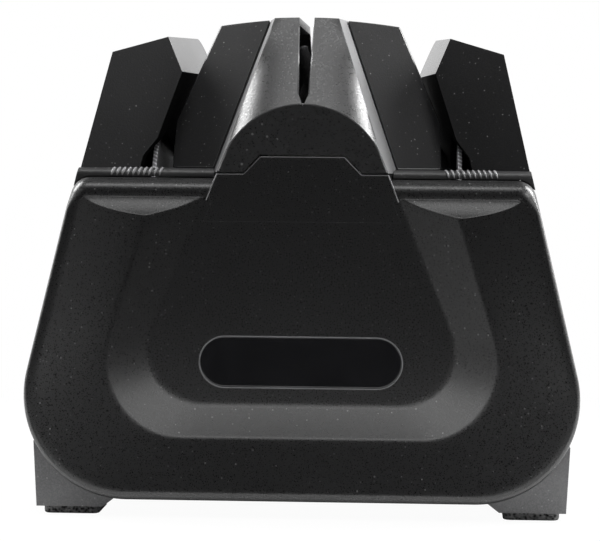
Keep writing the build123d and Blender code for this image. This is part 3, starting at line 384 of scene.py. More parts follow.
class Finish:
    """One procedural material under construction."""

    def __init__(self, name, owner=None):
        self.material = owner or bpy.data.materials.new(name)
        self.material.use_nodes = True
        self.tree = self.material.node_tree
        self.tree.nodes.clear()

    def node(self, kind, settings=None, sockets=None, output=0):
        """Add a node, set its settings first and then its sockets, and give one output."""
        node = self.tree.nodes.new(kind)
        for key, value in (settings or {}).items():
            setattr(node, key, value)
        for key, value in (sockets or {}).items():
            socket = self._socket(node.inputs, key)
            if isinstance(value, Value):
                self.tree.links.new(value.socket, socket)
            elif socket.type == "RGBA" and len(value) == 3:
                socket.default_value = (*value, 1.0)
            else:
                socket.default_value = value
        return Value(self, self._socket(node.outputs, output))

    @staticmethod
    def _socket(sockets, key):
        if isinstance(key, int):
            return sockets[key]
        return next(s for s in sockets if s.identifier == key or (s.name == key and s.enabled))

    def coords(self):
        """Object coordinates in metres."""
        return self.node("ShaderNodeTexCoord", output="Object")

    def place(self, scale=(1, 1, 1), turn=(0, 0, 0)):
        """Object coordinates, scaled and turned."""
        return self.node("ShaderNodeMapping", {},
                         {"Vector": self.coords(), "Scale": scale, "Rotation": turn})

    def noise(self, size, detail=3.0, rough=0.5, place=None):
        """Cloudy noise whose marks are about a size in millimetres."""
        return self.node("ShaderNodeTexNoise", {},
                         {"Vector": place or self.coords(), "Scale": 1.0 / (size * MM), "Detail": detail,
                          "Roughness": rough}, "Fac")

    def cells(self, size, output="Distance", feature="F1"):
        """A cell pattern whose cells are about a size in millimetres."""
        return self.node("ShaderNodeTexVoronoi", {"feature": feature},
                         {"Vector": self.coords(), "Scale": 1.0 / (size * MM)}, output)

    def spread(self, value, low, high, start=0.0, end=1.0, smooth=True):
        """Map a range of a value onto another range."""
        kind = "SMOOTHSTEP" if smooth else "LINEAR"
        return self.node("ShaderNodeMapRange", {"interpolation_type": kind},
                         {"Value": value, "From Min": low, "From Max": high, "To Min": start,
                          "To Max": end}, "Result")

    def clouds(self, value, colour, dark, pale, lift=0.0):
        """A colour that goes from a darker to a paler tone of itself with a value."""
        return self.mix(value, shade(colour, dark), shade(colour, pale, lift))

    def channel(self, colour, name):
        """One channel of a colour."""
        return self.node("ShaderNodeSeparateColor", {}, {"Color": colour}, name)

    def mix(self, factor, first, second):
        """Blend two colours."""
        return self.node("ShaderNodeMix", {"data_type": "RGBA"},
                         {"Factor_Float": factor, "A_Color": first, "B_Color": second}, "Result_Color")

    def axis(self, name, coords=None):
        """One axis of the object coordinates, or of others."""
        return self.node("ShaderNodeSeparateXYZ", {}, {"Vector": coords or self.coords()}, name)

    def bump(self, height, depth, strength=1.0):
        """A normal from a height, with a depth in millimetres."""
        return self.node("ShaderNodeBump", {},
                         {"Height": height, "Distance": depth * MM, "Strength": strength})

    def output(self, surface, kind="ShaderNodeOutputMaterial"):
        """Send a surface to the output and give the finished material."""
        out = self.tree.nodes.new(kind)
        self.tree.links.new(surface.socket, out.inputs["Surface"])
        return self.material

    def shader(self, **sockets):
        """The surface itself, from socket names with underscores for spaces."""
        named = {key.replace("_", " "): value for key, value in sockets.items()}
        return self.output(self.node("ShaderNodeBsdfPrincipled", {}, named))


def shade(colour, factor, lift=0.0):
    """A colour made darker or paler by a factor, then lifted towards white."""
    return [min(1, c * factor + lift) for c in colour]


def grained_plastic(name, colour, grain=0.45, rough=0.5, specks=0.5, shine=0.5, depth=0.02, pits=1.0):
    """Moulded plastic with a fine spark-eroded grain and a few pale specks."""
    f = Finish(name)
    cloud = f.noise(34.0, 2.0)
    fine = f.noise(grain, 2.0, 0.6)
    peaks = f.cells(grain * 1.3, feature="SMOOTH_F1")
    cell = f.cells(grain * 2.4, "Color")
    light = f.channel(cell, "Green")
    speck = (f.channel(cell, "Red") > 0.88) * (f.cells(grain * 2.4) < 0.26)
    base = f.clouds(f.spread(cloud, 0.3, 0.7), colour, 0.8, 1.15)
    base = f.mix(f.spread(fine, 0.35, 0.7, 0.0, 0.42), base, shade(colour, 1.8, 0.003))
    pale = f.mix(light * light, shade(colour, 1.0, 0.03), shade(colour, 1.0, 0.35))
    base = f.mix(speck * specks, base, pale)
    roughness = f.spread(fine, 0.3, 0.7, rough - 0.05, rough + 0.1)
    return f.shader(Base_Color=base, Roughness=roughness, Specular_IOR_Level=shine,
                    Normal=f.bump(fine - peaks * pits, depth, 1.0))


def polished_plastic(name, colour, rough=0.12, shine=0.5):
    """Polished moulded plastic with faint flow marks and hairline wipe marks."""
    f = Finish(name)
    flow = f.noise(9.0, 2.0)
    hair = f.noise(1.6, 5.0, 0.7, f.place(scale=(1.0, 1.0, 14.0), turn=(0, 0.35, 0)))
    base = f.clouds(f.spread(flow, 0.3, 0.7), colour, 0.85, 1.15, 0.001)
    roughness = f.spread(hair, 0.45, 0.75, rough, rough + 0.1)
    return f.shader(Base_Color=base, Roughness=roughness, Specular_IOR_Level=shine,
                    Normal=f.bump(flow, 0.02, 0.25))


def foam(name, colour):
    """Dense foam rubber with open cells and dust in them."""
    f = Finish(name)
    cell = f.cells(0.85, feature="SMOOTH_F1")
    small = f.cells(0.4)
    dust = f.noise(0.5, 4.0, 0.7)
    base = f.clouds(f.spread(cell, 0.15, 0.6), colour, 0.35, 6.0)
    base = f.mix(f.spread(dust, 0.62, 0.72, 0.0, 0.6), base, (0.16, 0.16, 0.155))
    return f.shader(Base_Color=base, Roughness=0.95, Specular_IOR_Level=0.2,
                    Normal=f.bump(cell + small * 0.4, 0.35, 1.0))


def metal(name, colour, rough=0.28, brushed=(1.0, 1.0, 1.0), grain=0.6, depth=0.006):
    """Plated or turned metal with fine marks and faint stains."""
    f = Finish(name)
    marks = f.noise(grain, 5.0, 0.65, f.place(scale=brushed))
    stain = f.noise(12.0, 3.0)
    base = f.clouds(f.spread(stain, 0.3, 0.75), colour, 0.8, 1.0)
    roughness = f.spread(marks, 0.3, 0.7, rough, rough + 0.16)
    return f.shader(Base_Color=base, Metallic=1.0, Roughness=roughness,
                    Normal=f.bump(marks, depth, 0.6))


def abrasive(name, colour):
    """Steel disc under a coat of fine grit, with pale and dark stripes round its rim."""
    f = Finish(name)
    grit = f.cells(0.28)
    tone = f.noise(0.3, 3.0, 0.7)
    x, y, z = f.axis("X"), f.axis("Y"), f.axis("Z") - DISC_AXLE_Z * MM
    angle = f.node("ShaderNodeMath", {"operation": "ARCTAN2"}, {0: y, 1: z})
    stripes, slope = 150.0, 2600.0
    wave = f.node("ShaderNodeMath", {"operation": "SINE"}, {0: angle * stripes + x * slope})
    stripe = f.spread(wave, -0.2, 0.5)
    spoke = f.node("ShaderNodeCombineXYZ", {}, {"X": 0.0, "Y": y, "Z": z})
    reach = f.node("ShaderNodeVectorMath", {"operation": "LENGTH"}, {0: spoke}, "Value")
    rim_in, rim_out = 36.55 * MM, 36.85 * MM
    rim = f.spread(reach, rim_in, rim_out)
    base = f.clouds(f.spread(tone, 0.3, 0.7), colour, 0.55, 1.35)
    base = f.mix(rim * stripe, base, (0.85, 0.84, 0.86))
    base = f.mix(rim * (1.0 - stripe) * 0.7, base, (0.35, 0.34, 0.37))
    return f.shader(Base_Color=base, Metallic=f.spread(rim, 0.0, 1.0, 0.55, 0.35),
                    Roughness=f.spread(rim, 0.0, 1.0, 0.62, 0.3), Normal=f.bump(grit, 0.05, 0.8))


def ceramic(name, colour):
    """Fine unglazed ceramic, ground smooth, with faint steel marks."""
    f = Finish(name)
    pores = f.cells(0.35)
    mark = f.noise(1.2, 4.0, 0.7, f.place(scale=(6.0, 1.0, 1.0)))
    base = f.mix(f.spread(mark, 0.5, 0.75, 0.0, 0.7), colour, (0.33, 0.32, 0.31))
    return f.shader(Base_Color=base, Roughness=f.spread(pores, 0.0, 0.6, 0.42, 0.6),
                    Normal=f.bump(pores, 0.01, 0.5))


def circuit_board(name, colour):
    """Green laminate with copper tracks under the solder mask."""
    f = Finish(name)
    tracks = f.node("ShaderNodeTexBrick", {"offset": 0.5},
                    {"Vector": f.place(turn=(math.pi / 2, 0, 0)), "Scale": 120.0, "Mortar Size": 0.08,
                     "Color1": (0, 0, 0), "Color2": (0, 0, 0), "Mortar": (1, 1, 1)}, "Color")
    line = f.channel(tracks, "Red")
    weave = f.noise(0.8, 3.0)
    base = f.clouds(f.spread(weave, 0.3, 0.7), colour, 0.8, 1.2)
    base = f.mix(line * 0.6, base, shade(colour, 2.4))
    return f.shader(Base_Color=base, Roughness=f.spread(weave, 0.3, 0.7, 0.25, 0.4),
                    Normal=f.bump(line, 0.03, 0.6))


def clear_plastic(name, colour):
    """Frosted clear plastic."""
    f = Finish(name)
    frost = f.noise(0.4, 3.0)
    base = f.clouds(f.spread(frost, 0.3, 0.7), colour, 0.9, 1.0)
    return f.shader(Base_Color=base, Roughness=f.spread(frost, 0.3, 0.7, 0.18, 0.32),
                    Transmission_Weight=0.75, IOR=1.49, Normal=f.bump(frost, 0.01, 0.4))


# ---- settings ------------------------------------------------------------------------------
def colour_setting(name, text, default):
    """A colour that a user can change."""
    return FloatVectorProperty(name=name, description=text, subtype="COLOR", size=3, min=0.0, max=1.0,
                               default=default)


def length_setting(name, text, default, low=0.0, high=0.2):
    """A length in metres that a user can change."""
    return FloatProperty(name=name, description=text, unit="LENGTH", default=default, min=low, max=high,
                         precision=5)


def power_setting(name, text, default):
    """A light's power in watts that a user can change."""
    return FloatProperty(name=name, description=text, unit="POWER", default=default, min=0.0)


def level_setting(name, text, default):
    """A brightness from dark to white that a user can change."""
    return FloatProperty(name=name, description=text, default=default, min=0.0, max=1.0)


class SharpenerShells(bpy.types.PropertyGroup):
    """Body shells with the relief on their faces."""
    hollow_depth: length_setting("Hollow Depth", "Depth of the crease below the face", 0.004)
    rim_round: length_setting("Rim Rounding", "Rounding round the face", 0.0013)
    deck_round: length_setting("Deck Rounding", "Rounding along the deck's front and rear edges", 0.0055)
    relief_round: length_setting("Relief Rounding", "Rounding of the relief's edges", 0.0002)
    colour: colour_setting("Colour", "Colour of the shells", (0.0048, 0.0048, 0.0051))
    base_colour: colour_setting("Base Colour", "Colour of the base and legs", (0.12, 0.12, 0.122))


class SharpenerGuides(bpy.types.PropertyGroup):
    """Lift-off blade guides."""
    edge_round: length_setting("Edge Rounding", "Rounding of the guides' edges", 0.0005)
    ribs: IntProperty(name="Grip Ribs", description="Ribs on each thumb grip", default=10, min=1, max=40)
    rib_pitch: length_setting("Rib Pitch", "Distance from rib to rib", 0.0016)
    colour: colour_setting("Colour", "Colour of the guides", (0.0128, 0.0128, 0.0133))


class SharpenerTower(bpy.types.PropertyGroup):
    """Tower with the hone slot."""
    edge_round: length_setting("Edge Rounding", "Rounding of the tower's edges", 0.0006)
    colour: colour_setting("Colour", "Colour of the tower", (0.0135, 0.0135, 0.014))


class SharpenerStage(bpy.types.PropertyGroup):
    """Camera, floor and light."""
    lens: FloatProperty(name="Lens", description="Focal length of the camera", unit="CAMERA",
                        default=162.84, min=10.0, max=400.0)
    top_power: power_setting("Top Light", "Power of the light above", 15.0)
    front_top_power: power_setting("Front Top Light", "Power of the light above the front", 3.5)
    front_right_power: power_setting("Front Right Light", "Power of the light at the front right", 2.5)
    side_power: power_setting("Side Lights", "Power of each light at the sides", 18.7)
    front_level: level_setting("Front Room", "Brightness of the room in front", 0.058)
    right_level: level_setting("Right Room", "Extra brightness on the right", 0.22)
    shadow: BoolProperty(name="Floor Shadow", description="Let the floor keep the sharpener's shadow",
                         default=True)


# ---- shells --------------------------------------------------------------------------------
class Outline:
    """A symmetric outline in X and Z: leaning sides, round lower corners, and a round or open top."""

    def __init__(self, half_top, top, bottom, lean, low_r, top_r=0.0, closed=True):
        self.half_top, self.top, self.bottom, self.closed = half_top, top, bottom, closed
        self.lean, self.low_r, self.top_r = lean, low_r, top_r
        self.cos, self.sin = math.cos(lean), math.sin(lean)
        self.low_c = (self._reach(bottom + low_r, low_r), bottom + low_r)
        self.top_c = (self._reach(top - top_r, top_r), top - top_r)

    def _reach(self, z, inset):
        """Half width at a height, set in from the side."""
        return self.half_top - (inset + self.sin * (z - self.top)) / self.cos

    def inside(self, x, z):
        """Distance inside the outline, negative outside."""
        x = np.abs(x)
        side = -(self.cos * (x - self.half_top) + self.sin * (z - self.top))
        depth = np.minimum(z - self.bottom, side)
        vx, vz = x - self.low_c[0], z - self.low_c[1]
        corner = (vx > 0) & (vx * self.sin - vz * self.cos > 0)
        depth = np.where(corner, self.low_r - np.hypot(vx, vz), depth)
        if self.closed:
            depth = np.minimum(depth, self.top - z)
            vx, vz = x - self.top_c[0], z - self.top_c[1]
            corner = (self.cos * vz - self.sin * vx > 0) & (vx > 0) & (vz > 0)
            depth = np.where(corner, self.top_r - np.hypot(vx, vz), depth)
        return depth

    def loop(self, inset=0.0, counts=(96, 14, 80, 40, 60)):
        """Points round the outline, clockwise from the top centre, and their outward directions."""
        low_r, top_r = self.low_r - inset, max(self.top_r - inset, 0.4)
        low_z, top_z = self.bottom + inset + low_r, self.top - inset - top_r
        low_x, top_x = self._reach(low_z, inset + low_r), self._reach(top_z, inset + top_r)
        top_n, arc_n, side_n, low_n, bottom_n = counts
        points, normals = [], []

        def add(px, pz, angle):
            """One point and its outward direction."""
            points.append((px, pz))
            normals.append((math.cos(angle), math.sin(angle)))

        for i in range(top_n):
            add(top_x * i / top_n, top_z + top_r, math.pi / 2)
        for i in range(arc_n):
            angle = math.pi / 2 + (self.lean - math.pi / 2) * i / arc_n
            add(top_x + top_r * math.cos(angle), top_z + top_r * math.sin(angle), angle)
        start = (top_x + top_r * self.cos, top_z + top_r * self.sin)
        end = (low_x + low_r * self.cos, low_z + low_r * self.sin)
        for i in range(side_n):
            t = i / side_n
            add(start[0] + (end[0] - start[0]) * t, start[1] + (end[1] - start[1]) * t, self.lean)
        for i in range(low_n):
            angle = self.lean + (-math.pi / 2 - self.lean) * i / low_n
            add(low_x + low_r * math.cos(angle), low_z + low_r * math.sin(angle), angle)
        for i in range(bottom_n + 1):
            add(low_x * (1 - i / bottom_n), low_z - low_r, -math.pi / 2)
        half = list(zip(points, normals))
        other = [((-p[0], p[1]), (-n[0], n[1])) for p, n in reversed(half[1:-1])]
        whole = half + other
        return np.array([p for p, _ in whole]), np.array([n for _, n in whole])


def side_x(z, inset=0.0):
    """Half width of the body's straight side at a height."""
    cos, sin = math.cos(SIDE_LEAN), math.sin(SIDE_LEAN)
    reach = cos * (WIDTH / 2 - CORNER_R) + sin * (BODY_BOTTOM + CORNER_R) + CORNER_R
    return (reach - inset - sin * z) / cos


HOLLOW_TOP, RIM_WIDTH = 94.6, 2.8
BODY = Outline(side_x(DECK_Z), DECK_Z, BODY_BOTTOM, SIDE_LEAN, CORNER_R, SHOULDER_R)
HOLLOW = Outline(side_x(HOLLOW_TOP, RIM_WIDTH), HOLLOW_TOP, BODY_BOTTOM + RIM_WIDTH, SIDE_LEAN,
                 CORNER_R - RIM_WIDTH, 2.0, closed=False)
CREASE = Outline(46.5, 90.0, 23.7, math.radians(16.8), 22.7, 1.5, closed=False)
PANEL = Outline(TOWER_FOOT, TOWER_Z, 33.6, math.radians(21.9), 16.3, 1.0, closed=False)
INNER_PANEL = Outline(25.0, 84.0, 42.0, math.radians(21.9), 12.0, 1.0)
BROW_Z, BROW_DROP = 96.6, 6.8


def smooth_min(a, b, width):
    """The lower of two values, blended over a width."""
    blend = np.clip(0.5 + 0.5 * (b - a) / width, 0.0, 1.0)
    return b * (1 - blend) + a * blend - width * blend * (1 - blend)


def smooth_max(a, b, width):
    """The higher of two values, blended over a width."""
    return -smooth_min(-a, -b, width)


def relief(x, z, depth, soft):
    """How far the face lies behind its front plane."""
    hollow, crease, panel = HOLLOW.inside(x, z), CREASE.inside(x, z), PANEL.inside(x, z)
    beyond, bow = 0.3, 1.3
    run = np.clip(hollow / np.maximum(hollow - crease, 1e-6), -1.0, 1.5)
    eased = np.where(run > 0, 1 - np.clip(1 - run, 0, 1) ** bow, run * bow)
    frame_side = np.where(crease > 0, depth + crease * beyond, depth * eased)
    climb = -panel / np.maximum(crease - panel, 1e-6)
    band = np.where(crease > 0, depth * np.clip(climb, -1.0, 1.5), depth - crease * beyond)
    band = np.where(panel > 0, -panel * beyond, band)
    brow = (BROW_Z - z) / BROW_DROP
    brow = depth * brow * (0.25 + 0.75 * brow)
    low = smooth_min(smooth_min(frame_side, band, soft), brow, soft * 0.7)
    return smooth_max(low, np.zeros_like(low), soft * 0.9)


def rim_radius(z, rim, deck):
    """Rounding at the edge of the face: larger along the deck."""
    low, climb = 91.0, 8.0
    share = np.clip((z - low) / climb, 0.0, 1.0)
    share = share * share * (3 - 2 * share)
    return rim + (deck - rim) * share


def shell_points(settings):
    """Rings of points over one shell, from its seam to the middle of its face: X, Z and depth."""
    rim, deck = settings.rim_round / MM, settings.deck_round / MM
    depth, soft = settings.hollow_depth / MM, settings.relief_round / MM
    edge, direction = BODY.loop()
    radius = rim_radius(edge[:, 1], rim, deck)
    rings = []
    pocket, seam = 48.4, HALF_DEPTH - 0.05
    for inset, level in ((SHELL_WALL, pocket), (SHELL_WALL, seam), (0.35, seam), (0.1, 54.88),
                         (0.0, 54.65), (0.0, 44.0), (0.0, 30.0), (0.0, 17.0)):
        rings.append(np.column_stack([edge - direction * inset, np.full(len(edge), level)]))
    for step in range(10):
        angle = math.pi / 2 * step / 9
        shift = (radius * (1 - math.cos(angle)))[:, None]
        rings.append(np.column_stack([edge - direction * shift, radius * (1 - math.sin(angle))]))
    panel = Outline(TOWER_FOOT + 6.8, 86.0, PANEL.bottom, PANEL.lean, PANEL.low_r, 1.0)
    curves = [edge - direction * radius[:, None], HOLLOW.loop()[0], CREASE.loop()[0], panel.loop()[0],
              INNER_PANEL.loop()[0]]
    for (start, end), count in zip(zip(curves, curves[1:]), (5, 18, 16, 6)):
        for step in range(1, count + 1):
            flat = start + (end - start) * (step / count)
            rings.append(np.column_stack([flat, relief(flat[:, 0], flat[:, 1], depth, soft)]))
    return rings


def shell_normals(points, side, settings):
    """Exact outward directions of the shell's outer surface at points in millimetres."""
    rim, deck = settings.rim_round / MM, settings.deck_round / MM
    depth, soft = settings.hollow_depth / MM, settings.relief_round / MM
    x, z = points[:, 0], points[:, 2]
    level = HALF_DEPTH + points[:, 1] if side < 0 else HALF_DEPTH - points[:, 1]
    step = 0.02
    radius = rim_radius(z, rim, deck)
    inside = BODY.inside(x, z)
    out_x = -(BODY.inside(x + step, z) - BODY.inside(x - step, z)) / (2 * step)
    out_z = -(BODY.inside(x, z + step) - BODY.inside(x, z - step)) / (2 * step)
    face_x = (relief(x + step, z, depth, soft) - relief(x - step, z, depth, soft)) / (2 * step)
    face_z = (relief(x, z + step, depth, soft) - relief(x, z - step, depth, soft)) / (2 * step)
    face = np.column_stack([face_x, np.full(len(x), float(side)), face_z])
    across, down = np.clip(radius - inside, 0, None), np.clip(radius - level, 0, None)
    round_n = np.column_stack([out_x * across, side * down, out_z * across])
    flank = np.column_stack([out_x, np.zeros(len(x)), out_z])
    on_face = (inside >= radius - 1e-3) & (level < radius + depth)
    on_flank = level >= radius - 1e-3
    normals = np.where(on_face[:, None], face, np.where(on_flank[:, None], flank, round_n))
    return normals / np.maximum(np.linalg.norm(normals, axis=1), 1e-9)[:, None]


def shade_shell(obj, side, settings):
    """Give the outer surface its exact normals and leave cut faces flat."""
    mesh = obj.data
    mesh.shade_smooth()
    corner_vert = np.empty(len(mesh.loops), int)
    mesh.loops.foreach_get("vertex_index", corner_vert)
    coords = np.empty(len(mesh.vertices) * 3)
    mesh.vertices.foreach_get("co", coords)
    points = coords.reshape(-1, 3)[corner_vert] / MM
    flat = np.empty(len(mesh.polygons) * 3)
    mesh.polygon_normals.foreach_get("vector", flat)
    totals = np.empty(len(mesh.polygons), int)
    mesh.polygons.foreach_get("loop_total", totals)
    flat = np.repeat(flat.reshape(-1, 3), totals, axis=0)
    exact = shell_normals(points, side, settings)
    near = (exact * flat).sum(1) > 0.75
    chosen = np.where(near[:, None], exact, flat)
    mesh.normals_split_custom_set([tuple(n) for n in chosen])


def panel_x(z):
    """Half width of the centre panel at a height."""
    return TOWER_FOOT + (TOWER_Z - z) * PANEL_LEAN


def tab_outline(grow=0.0):
    """Key on the centre panel's top edge."""
    low, high, top = TAB_HALF + grow, TAB_TOP_HALF + grow, PLATEAU_Z + TAB_RISE + grow
    return [(low, PLATEAU_Z), (high, top), (-high, top), (-low, PLATEAU_Z)]


def panel_head(side):
    """Upper end of the proud centre panel with its key, and the plateau that carries the tower."""
    foot, shoulder, tuck = 88.0, 96.0, 1.6
    right = [(panel_x(foot) - tuck, foot), (panel_x(94.0) - tuck, 94.0), (panel_x(shoulder), shoulder),
             (panel_x(PLATEAU_Z), PLATEAU_Z)]
    outline = right + tab_outline() + [(-x, z) for x, z in reversed(right)]
    near = sorted((side * (HALF_DEPTH + 0.01), side * (HALF_DEPTH - SHELL_WALL)))
    # The head's rounded edges take the pale second finish: painted highlight.
    head = softened(paint(prism("head", outline, "y", *near), "shell", "shell_edge"), 0.35)
    if side > 0:
        combine(head, rear_vents())
    low, wide = TOWER_FOOT, TOWER_FOOT + TOWER_FULL * TOWER_SPLAY
    face, bend, middle = side * (HALF_DEPTH - 0.4), side * (HALF_DEPTH - TOWER_FULL), side * 0.1
    plan = [(low, face), (wide, bend), (wide, middle), (-wide, middle), (-wide, bend), (-low, face)]
    plateau = softened(prism("plateau", plan, "z", DECK_Z - 0.8, PLATEAU_Z), 0.3)
    cheek = [(panel_x(95.8), 95.8), (panel_x(PLATEAU_Z), PLATEAU_Z)]
    cheek += [(-x, z) for x, z in reversed(cheek)]
    deep = sorted((side * (HALF_DEPTH - 0.2), side * (HALF_DEPTH - 8.0)))
    return joined(head, [plateau, prism("cheek", cheek, "y", *deep)])


def panel_beads():
    """Fine pale beads down the upper sides of both centre panels, as painted highlight lines."""
    beads = []
    for side in (-1, 1):
        for hand in (-1, 1):
            line = [(hand * (panel_x(z) - 0.2), side * (HALF_DEPTH - 0.22), z)
                    for z in (TOWER_Z - 0.4, 99.0, 94.5)]
            beads.append(bead(line, 0.28))
    return joined(beads[0], beads[1:], "panel_painted_highlight_beads")


def body_shell(name, side, settings, cutters):
    """One half of the body with its openings: side -1 is the front, 1 the rear."""
    sections = []
    for ring in shell_points(settings):
        y = -HALF_DEPTH + ring[:, 2] if side < 0 else HALF_DEPTH - ring[:, 2]
        sections.append(np.column_stack([ring[:, 0], y, ring[:, 1]]))
    obj = combine(lofted(name, sections), cutters)
    shade_shell(obj, side, settings)
    return obj


def deck_cutters(side):
    """Slots for the discs and holes for the guides' pegs in one half of the deck."""
    low, high = 97.4, DECK_Z + 1.0
    ys = sorted((side * 35.0, side * -1.0))
    tools = []
    for hand in (-1, 1):
        xs = sorted(hand * x for x in DISC_ROOM)
        outline = [(xs[0], ys[0]), (xs[1], ys[0]), (xs[1], ys[1]), (xs[0], ys[1])]
        tools.append(prism("disc_slot", outline, "z", low, high))
        peg = (hand * PEG_AT[0], side * PEG_AT[1])
        tools.append(round_bar("peg_hole", PEG_R + 0.3, "z", peg, low, high))
    return tools


def rear_vents():
    """Seven upright vents across the rear centre panel."""
    count, pitch, centre_z = 7, 5.0, 90.53
    return [prism("vent", slot_outline(((i - count // 2) * pitch, centre_z), 2.4, 9.0), "y", 40.0, 60.0)
            for i in range(count)]


def rear_cutters():
    """Openings in the rear face: button, lights, inlet, vents and screw recesses."""
    inside, outside, screw_seat = 46.0, 60.0, 17.0
    button_z, light_z, light_pitch = 70.0, 52.0, 9.0
    inlet_at, screws_at = (26.0, 46.0), ((62.0, 34.0), (64.0, 82.0))
    tools = [round_bar("button_hole", 11.0, "y", (0.0, button_z), inside, outside, 96)]
    for i in (-1, 0, 1):
        tools.append(round_bar("light_hole", 1.75, "y", (i * light_pitch, light_z), inside, outside, 40))
    tools.append(round_bar("inlet_hole", 5.45, "y", inlet_at, inside, outside, 64))
    tools += rear_vents()
    for x, z in screws_at:
        for hand in (-1, 1):
            tools.append(round_bar("screw_recess", 3.1, "y", (hand * x, z), screw_seat, outside, 48))
    return tools


# ---- tower ---------------------------------------------------------------------------------
def tower_half(y_in, z, inset=0.0):
    """Half width of the tower at a depth from its face and a height, set in from its skin."""
    splay, lean, slant = min(y_in, TOWER_FULL) * TOWER_SPLAY, (z - TOWER_Z) * TOWER_LEAN, 1.0755
    return TOWER_FOOT + splay - lean - inset * slant


def nose_arch(inset=0.0):
    """Half width, radius, centre height and half angle of the arch at the foot of the nose."""
    spring, apex = NOSE_SPRING - inset, NOSE_APEX - inset
    half, rise = tower_half(0, spring, inset), apex - spring
    radius = (half * half + rise * rise) / (2 * rise)
    centre = apex - radius
    return half, radius, centre, math.atan2(half, spring - centre)


def crown(x, inset=0.0):
    """Height of the round top across the tower and the inner guides."""
    return CROWN_Z - inset - CROWN_R + math.sqrt(CROWN_R ** 2 - x * x)


def nose_grid(side, inset, across, along):
    """Rows of points over one nose, from its arch up to a straight line on top."""
    _, radius, centre, reach = nose_arch(inset)
    crest = tower_half(NOSE_DEPTH, BLOCK_TOP, inset)
    rows = []
    for j in range(along + 1):
        t = j / along
        row = []
        for i in range(across + 1):
            place = 2 * i / across - 1
            low = (radius * math.sin(reach * place), inset, centre + radius * math.cos(reach * place))
            high = (crest * place, inset + NOSE_DEPTH, BLOCK_TOP)
            x, y_in, z = (low[k] + (high[k] - low[k]) * t for k in range(3))
            row.append((x, side * (HALF_DEPTH - y_in), z))
        rows.append(row)
    return rows


def tower_form(name, inset=0.0, foot=TOWER_Z, across=56, along=26):
    """The tower as a block, with the ruled nose surfaces at the front and the rear."""
    verts, faces = [], []

    def add(point):
        """Keep one point and give its number."""
        verts.append(point)
        return len(verts) - 1

    grids, feet, wide = {}, {}, {}
    for side in (-1, 1):
        nose = nose_grid(side, inset, across, along)
        grids[side] = grid = [[add(point) for point in row] for row in nose]
        for row, above in zip(grid, grid[1:]):
            faces += [(row[i], row[i + 1], above[i + 1], above[i]) for i in range(across)]
    for side in (-1, 1):
        for hand in (-1, 1):
            half, face = tower_half(0, foot, inset), HALF_DEPTH - inset
            feet[side, hand] = add((hand * half, side * face, foot))
            for level, z in (("foot", foot), ("top", BLOCK_TOP)):
                wide[side, hand, level] = add((hand * tower_half(TOWER_FULL, z, inset),
                                               side * (HALF_DEPTH - TOWER_FULL - inset), z))
    for side in (-1, 1):
        grid = grids[side]
        faces.append([feet[side, 1], feet[side, -1]] + grid[0])
        for hand, column in ((-1, 0), (1, across)):
            edge = [row[column] for row in grid]
            faces.append([feet[side, hand]] + edge + [wide[side, hand, "top"], wide[side, hand, "foot"]])
        faces.append(grid[-1] + [wide[side, 1, "top"], wide[side, -1, "top"]])
    for hand in (-1, 1):
        faces.append([wide[-1, hand, "foot"], wide[-1, hand, "top"],
                      wide[1, hand, "top"], wide[1, hand, "foot"]])
    faces.append([wide[-1, -1, "top"], wide[-1, 1, "top"], wide[1, 1, "top"], wide[1, -1, "top"]])
    faces.append([feet[-1, -1], feet[-1, 1], wide[-1, 1, "foot"], wide[1, 1, "foot"],
                  feet[1, 1], feet[1, -1], wide[1, -1, "foot"], wide[-1, -1, "foot"]])
    obj = outward(make_object(name, verts, faces))
    arc = [(x, crown(x, inset)) for x in np.linspace(-45, 45, 37)]
    return combine(obj, [prism("sky", arc + [(45, 170), (-45, 170)], "y", -80, 80)])


def hone_slot():
    """The slot for the hone rods, as the solid that is cut out: a point, a waist and a flared mouth."""
    flare = (HONE_MOUTH[0] - HONE_WAIST[0]) / (HONE_MOUTH[1] - HONE_WAIST[1])
    above = 3
    wide, top = HONE_MOUTH[0] + above * flare, HONE_MOUTH[1] + above
    outline = [HONE_FLOOR, HONE_WAIST, (wide, top), (-wide, top), (-HONE_WAIST[0], HONE_WAIST[1])]
    return prism("slot", outline, "y", -70, 70)


def panel_key(side):
    """Room for the centre panel's key in the foot of the tower."""
    low, below = TAB_HALF + TAB_GAP, PLATEAU_Z - 1
    upper = tab_outline(TAB_GAP)[1:3]
    outline = [(low, below), (low, PLATEAU_Z), *upper, (-low, PLATEAU_Z), (-low, below)]
    ends = sorted((side * (HALF_DEPTH + 5.0), side * (HALF_DEPTH - 3.0)))
    return prism("key", outline, "y", *ends)


def hone_tower(settings):
    """The hollow tower with its keys, its slot, and its side flanks in a pale finish that is a painted
    sheen.
    """
    obj = combine(tower_form("hone_tower_moulding"), [panel_key(-1), panel_key(1)])
    core = tower_form("core", 2.4, TOWER_Z - 1.0, 24, 10)
    combine(obj, [core, hone_slot()])
    # The rounded edge faces take the pale second finish: painted highlight along the edges.
    paint(obj, "tower", "tower_edge", "tower_flank")
    # Sideways-facing flank faces take the pale third finish: a painted sheen for the light they catch.
    paint_faces(obj, 2, lambda at, out: abs(out.x) > 0.8 and abs(at.x) > 12.0)
    return softened(obj, settings.edge_round / MM, 3, 24.0)


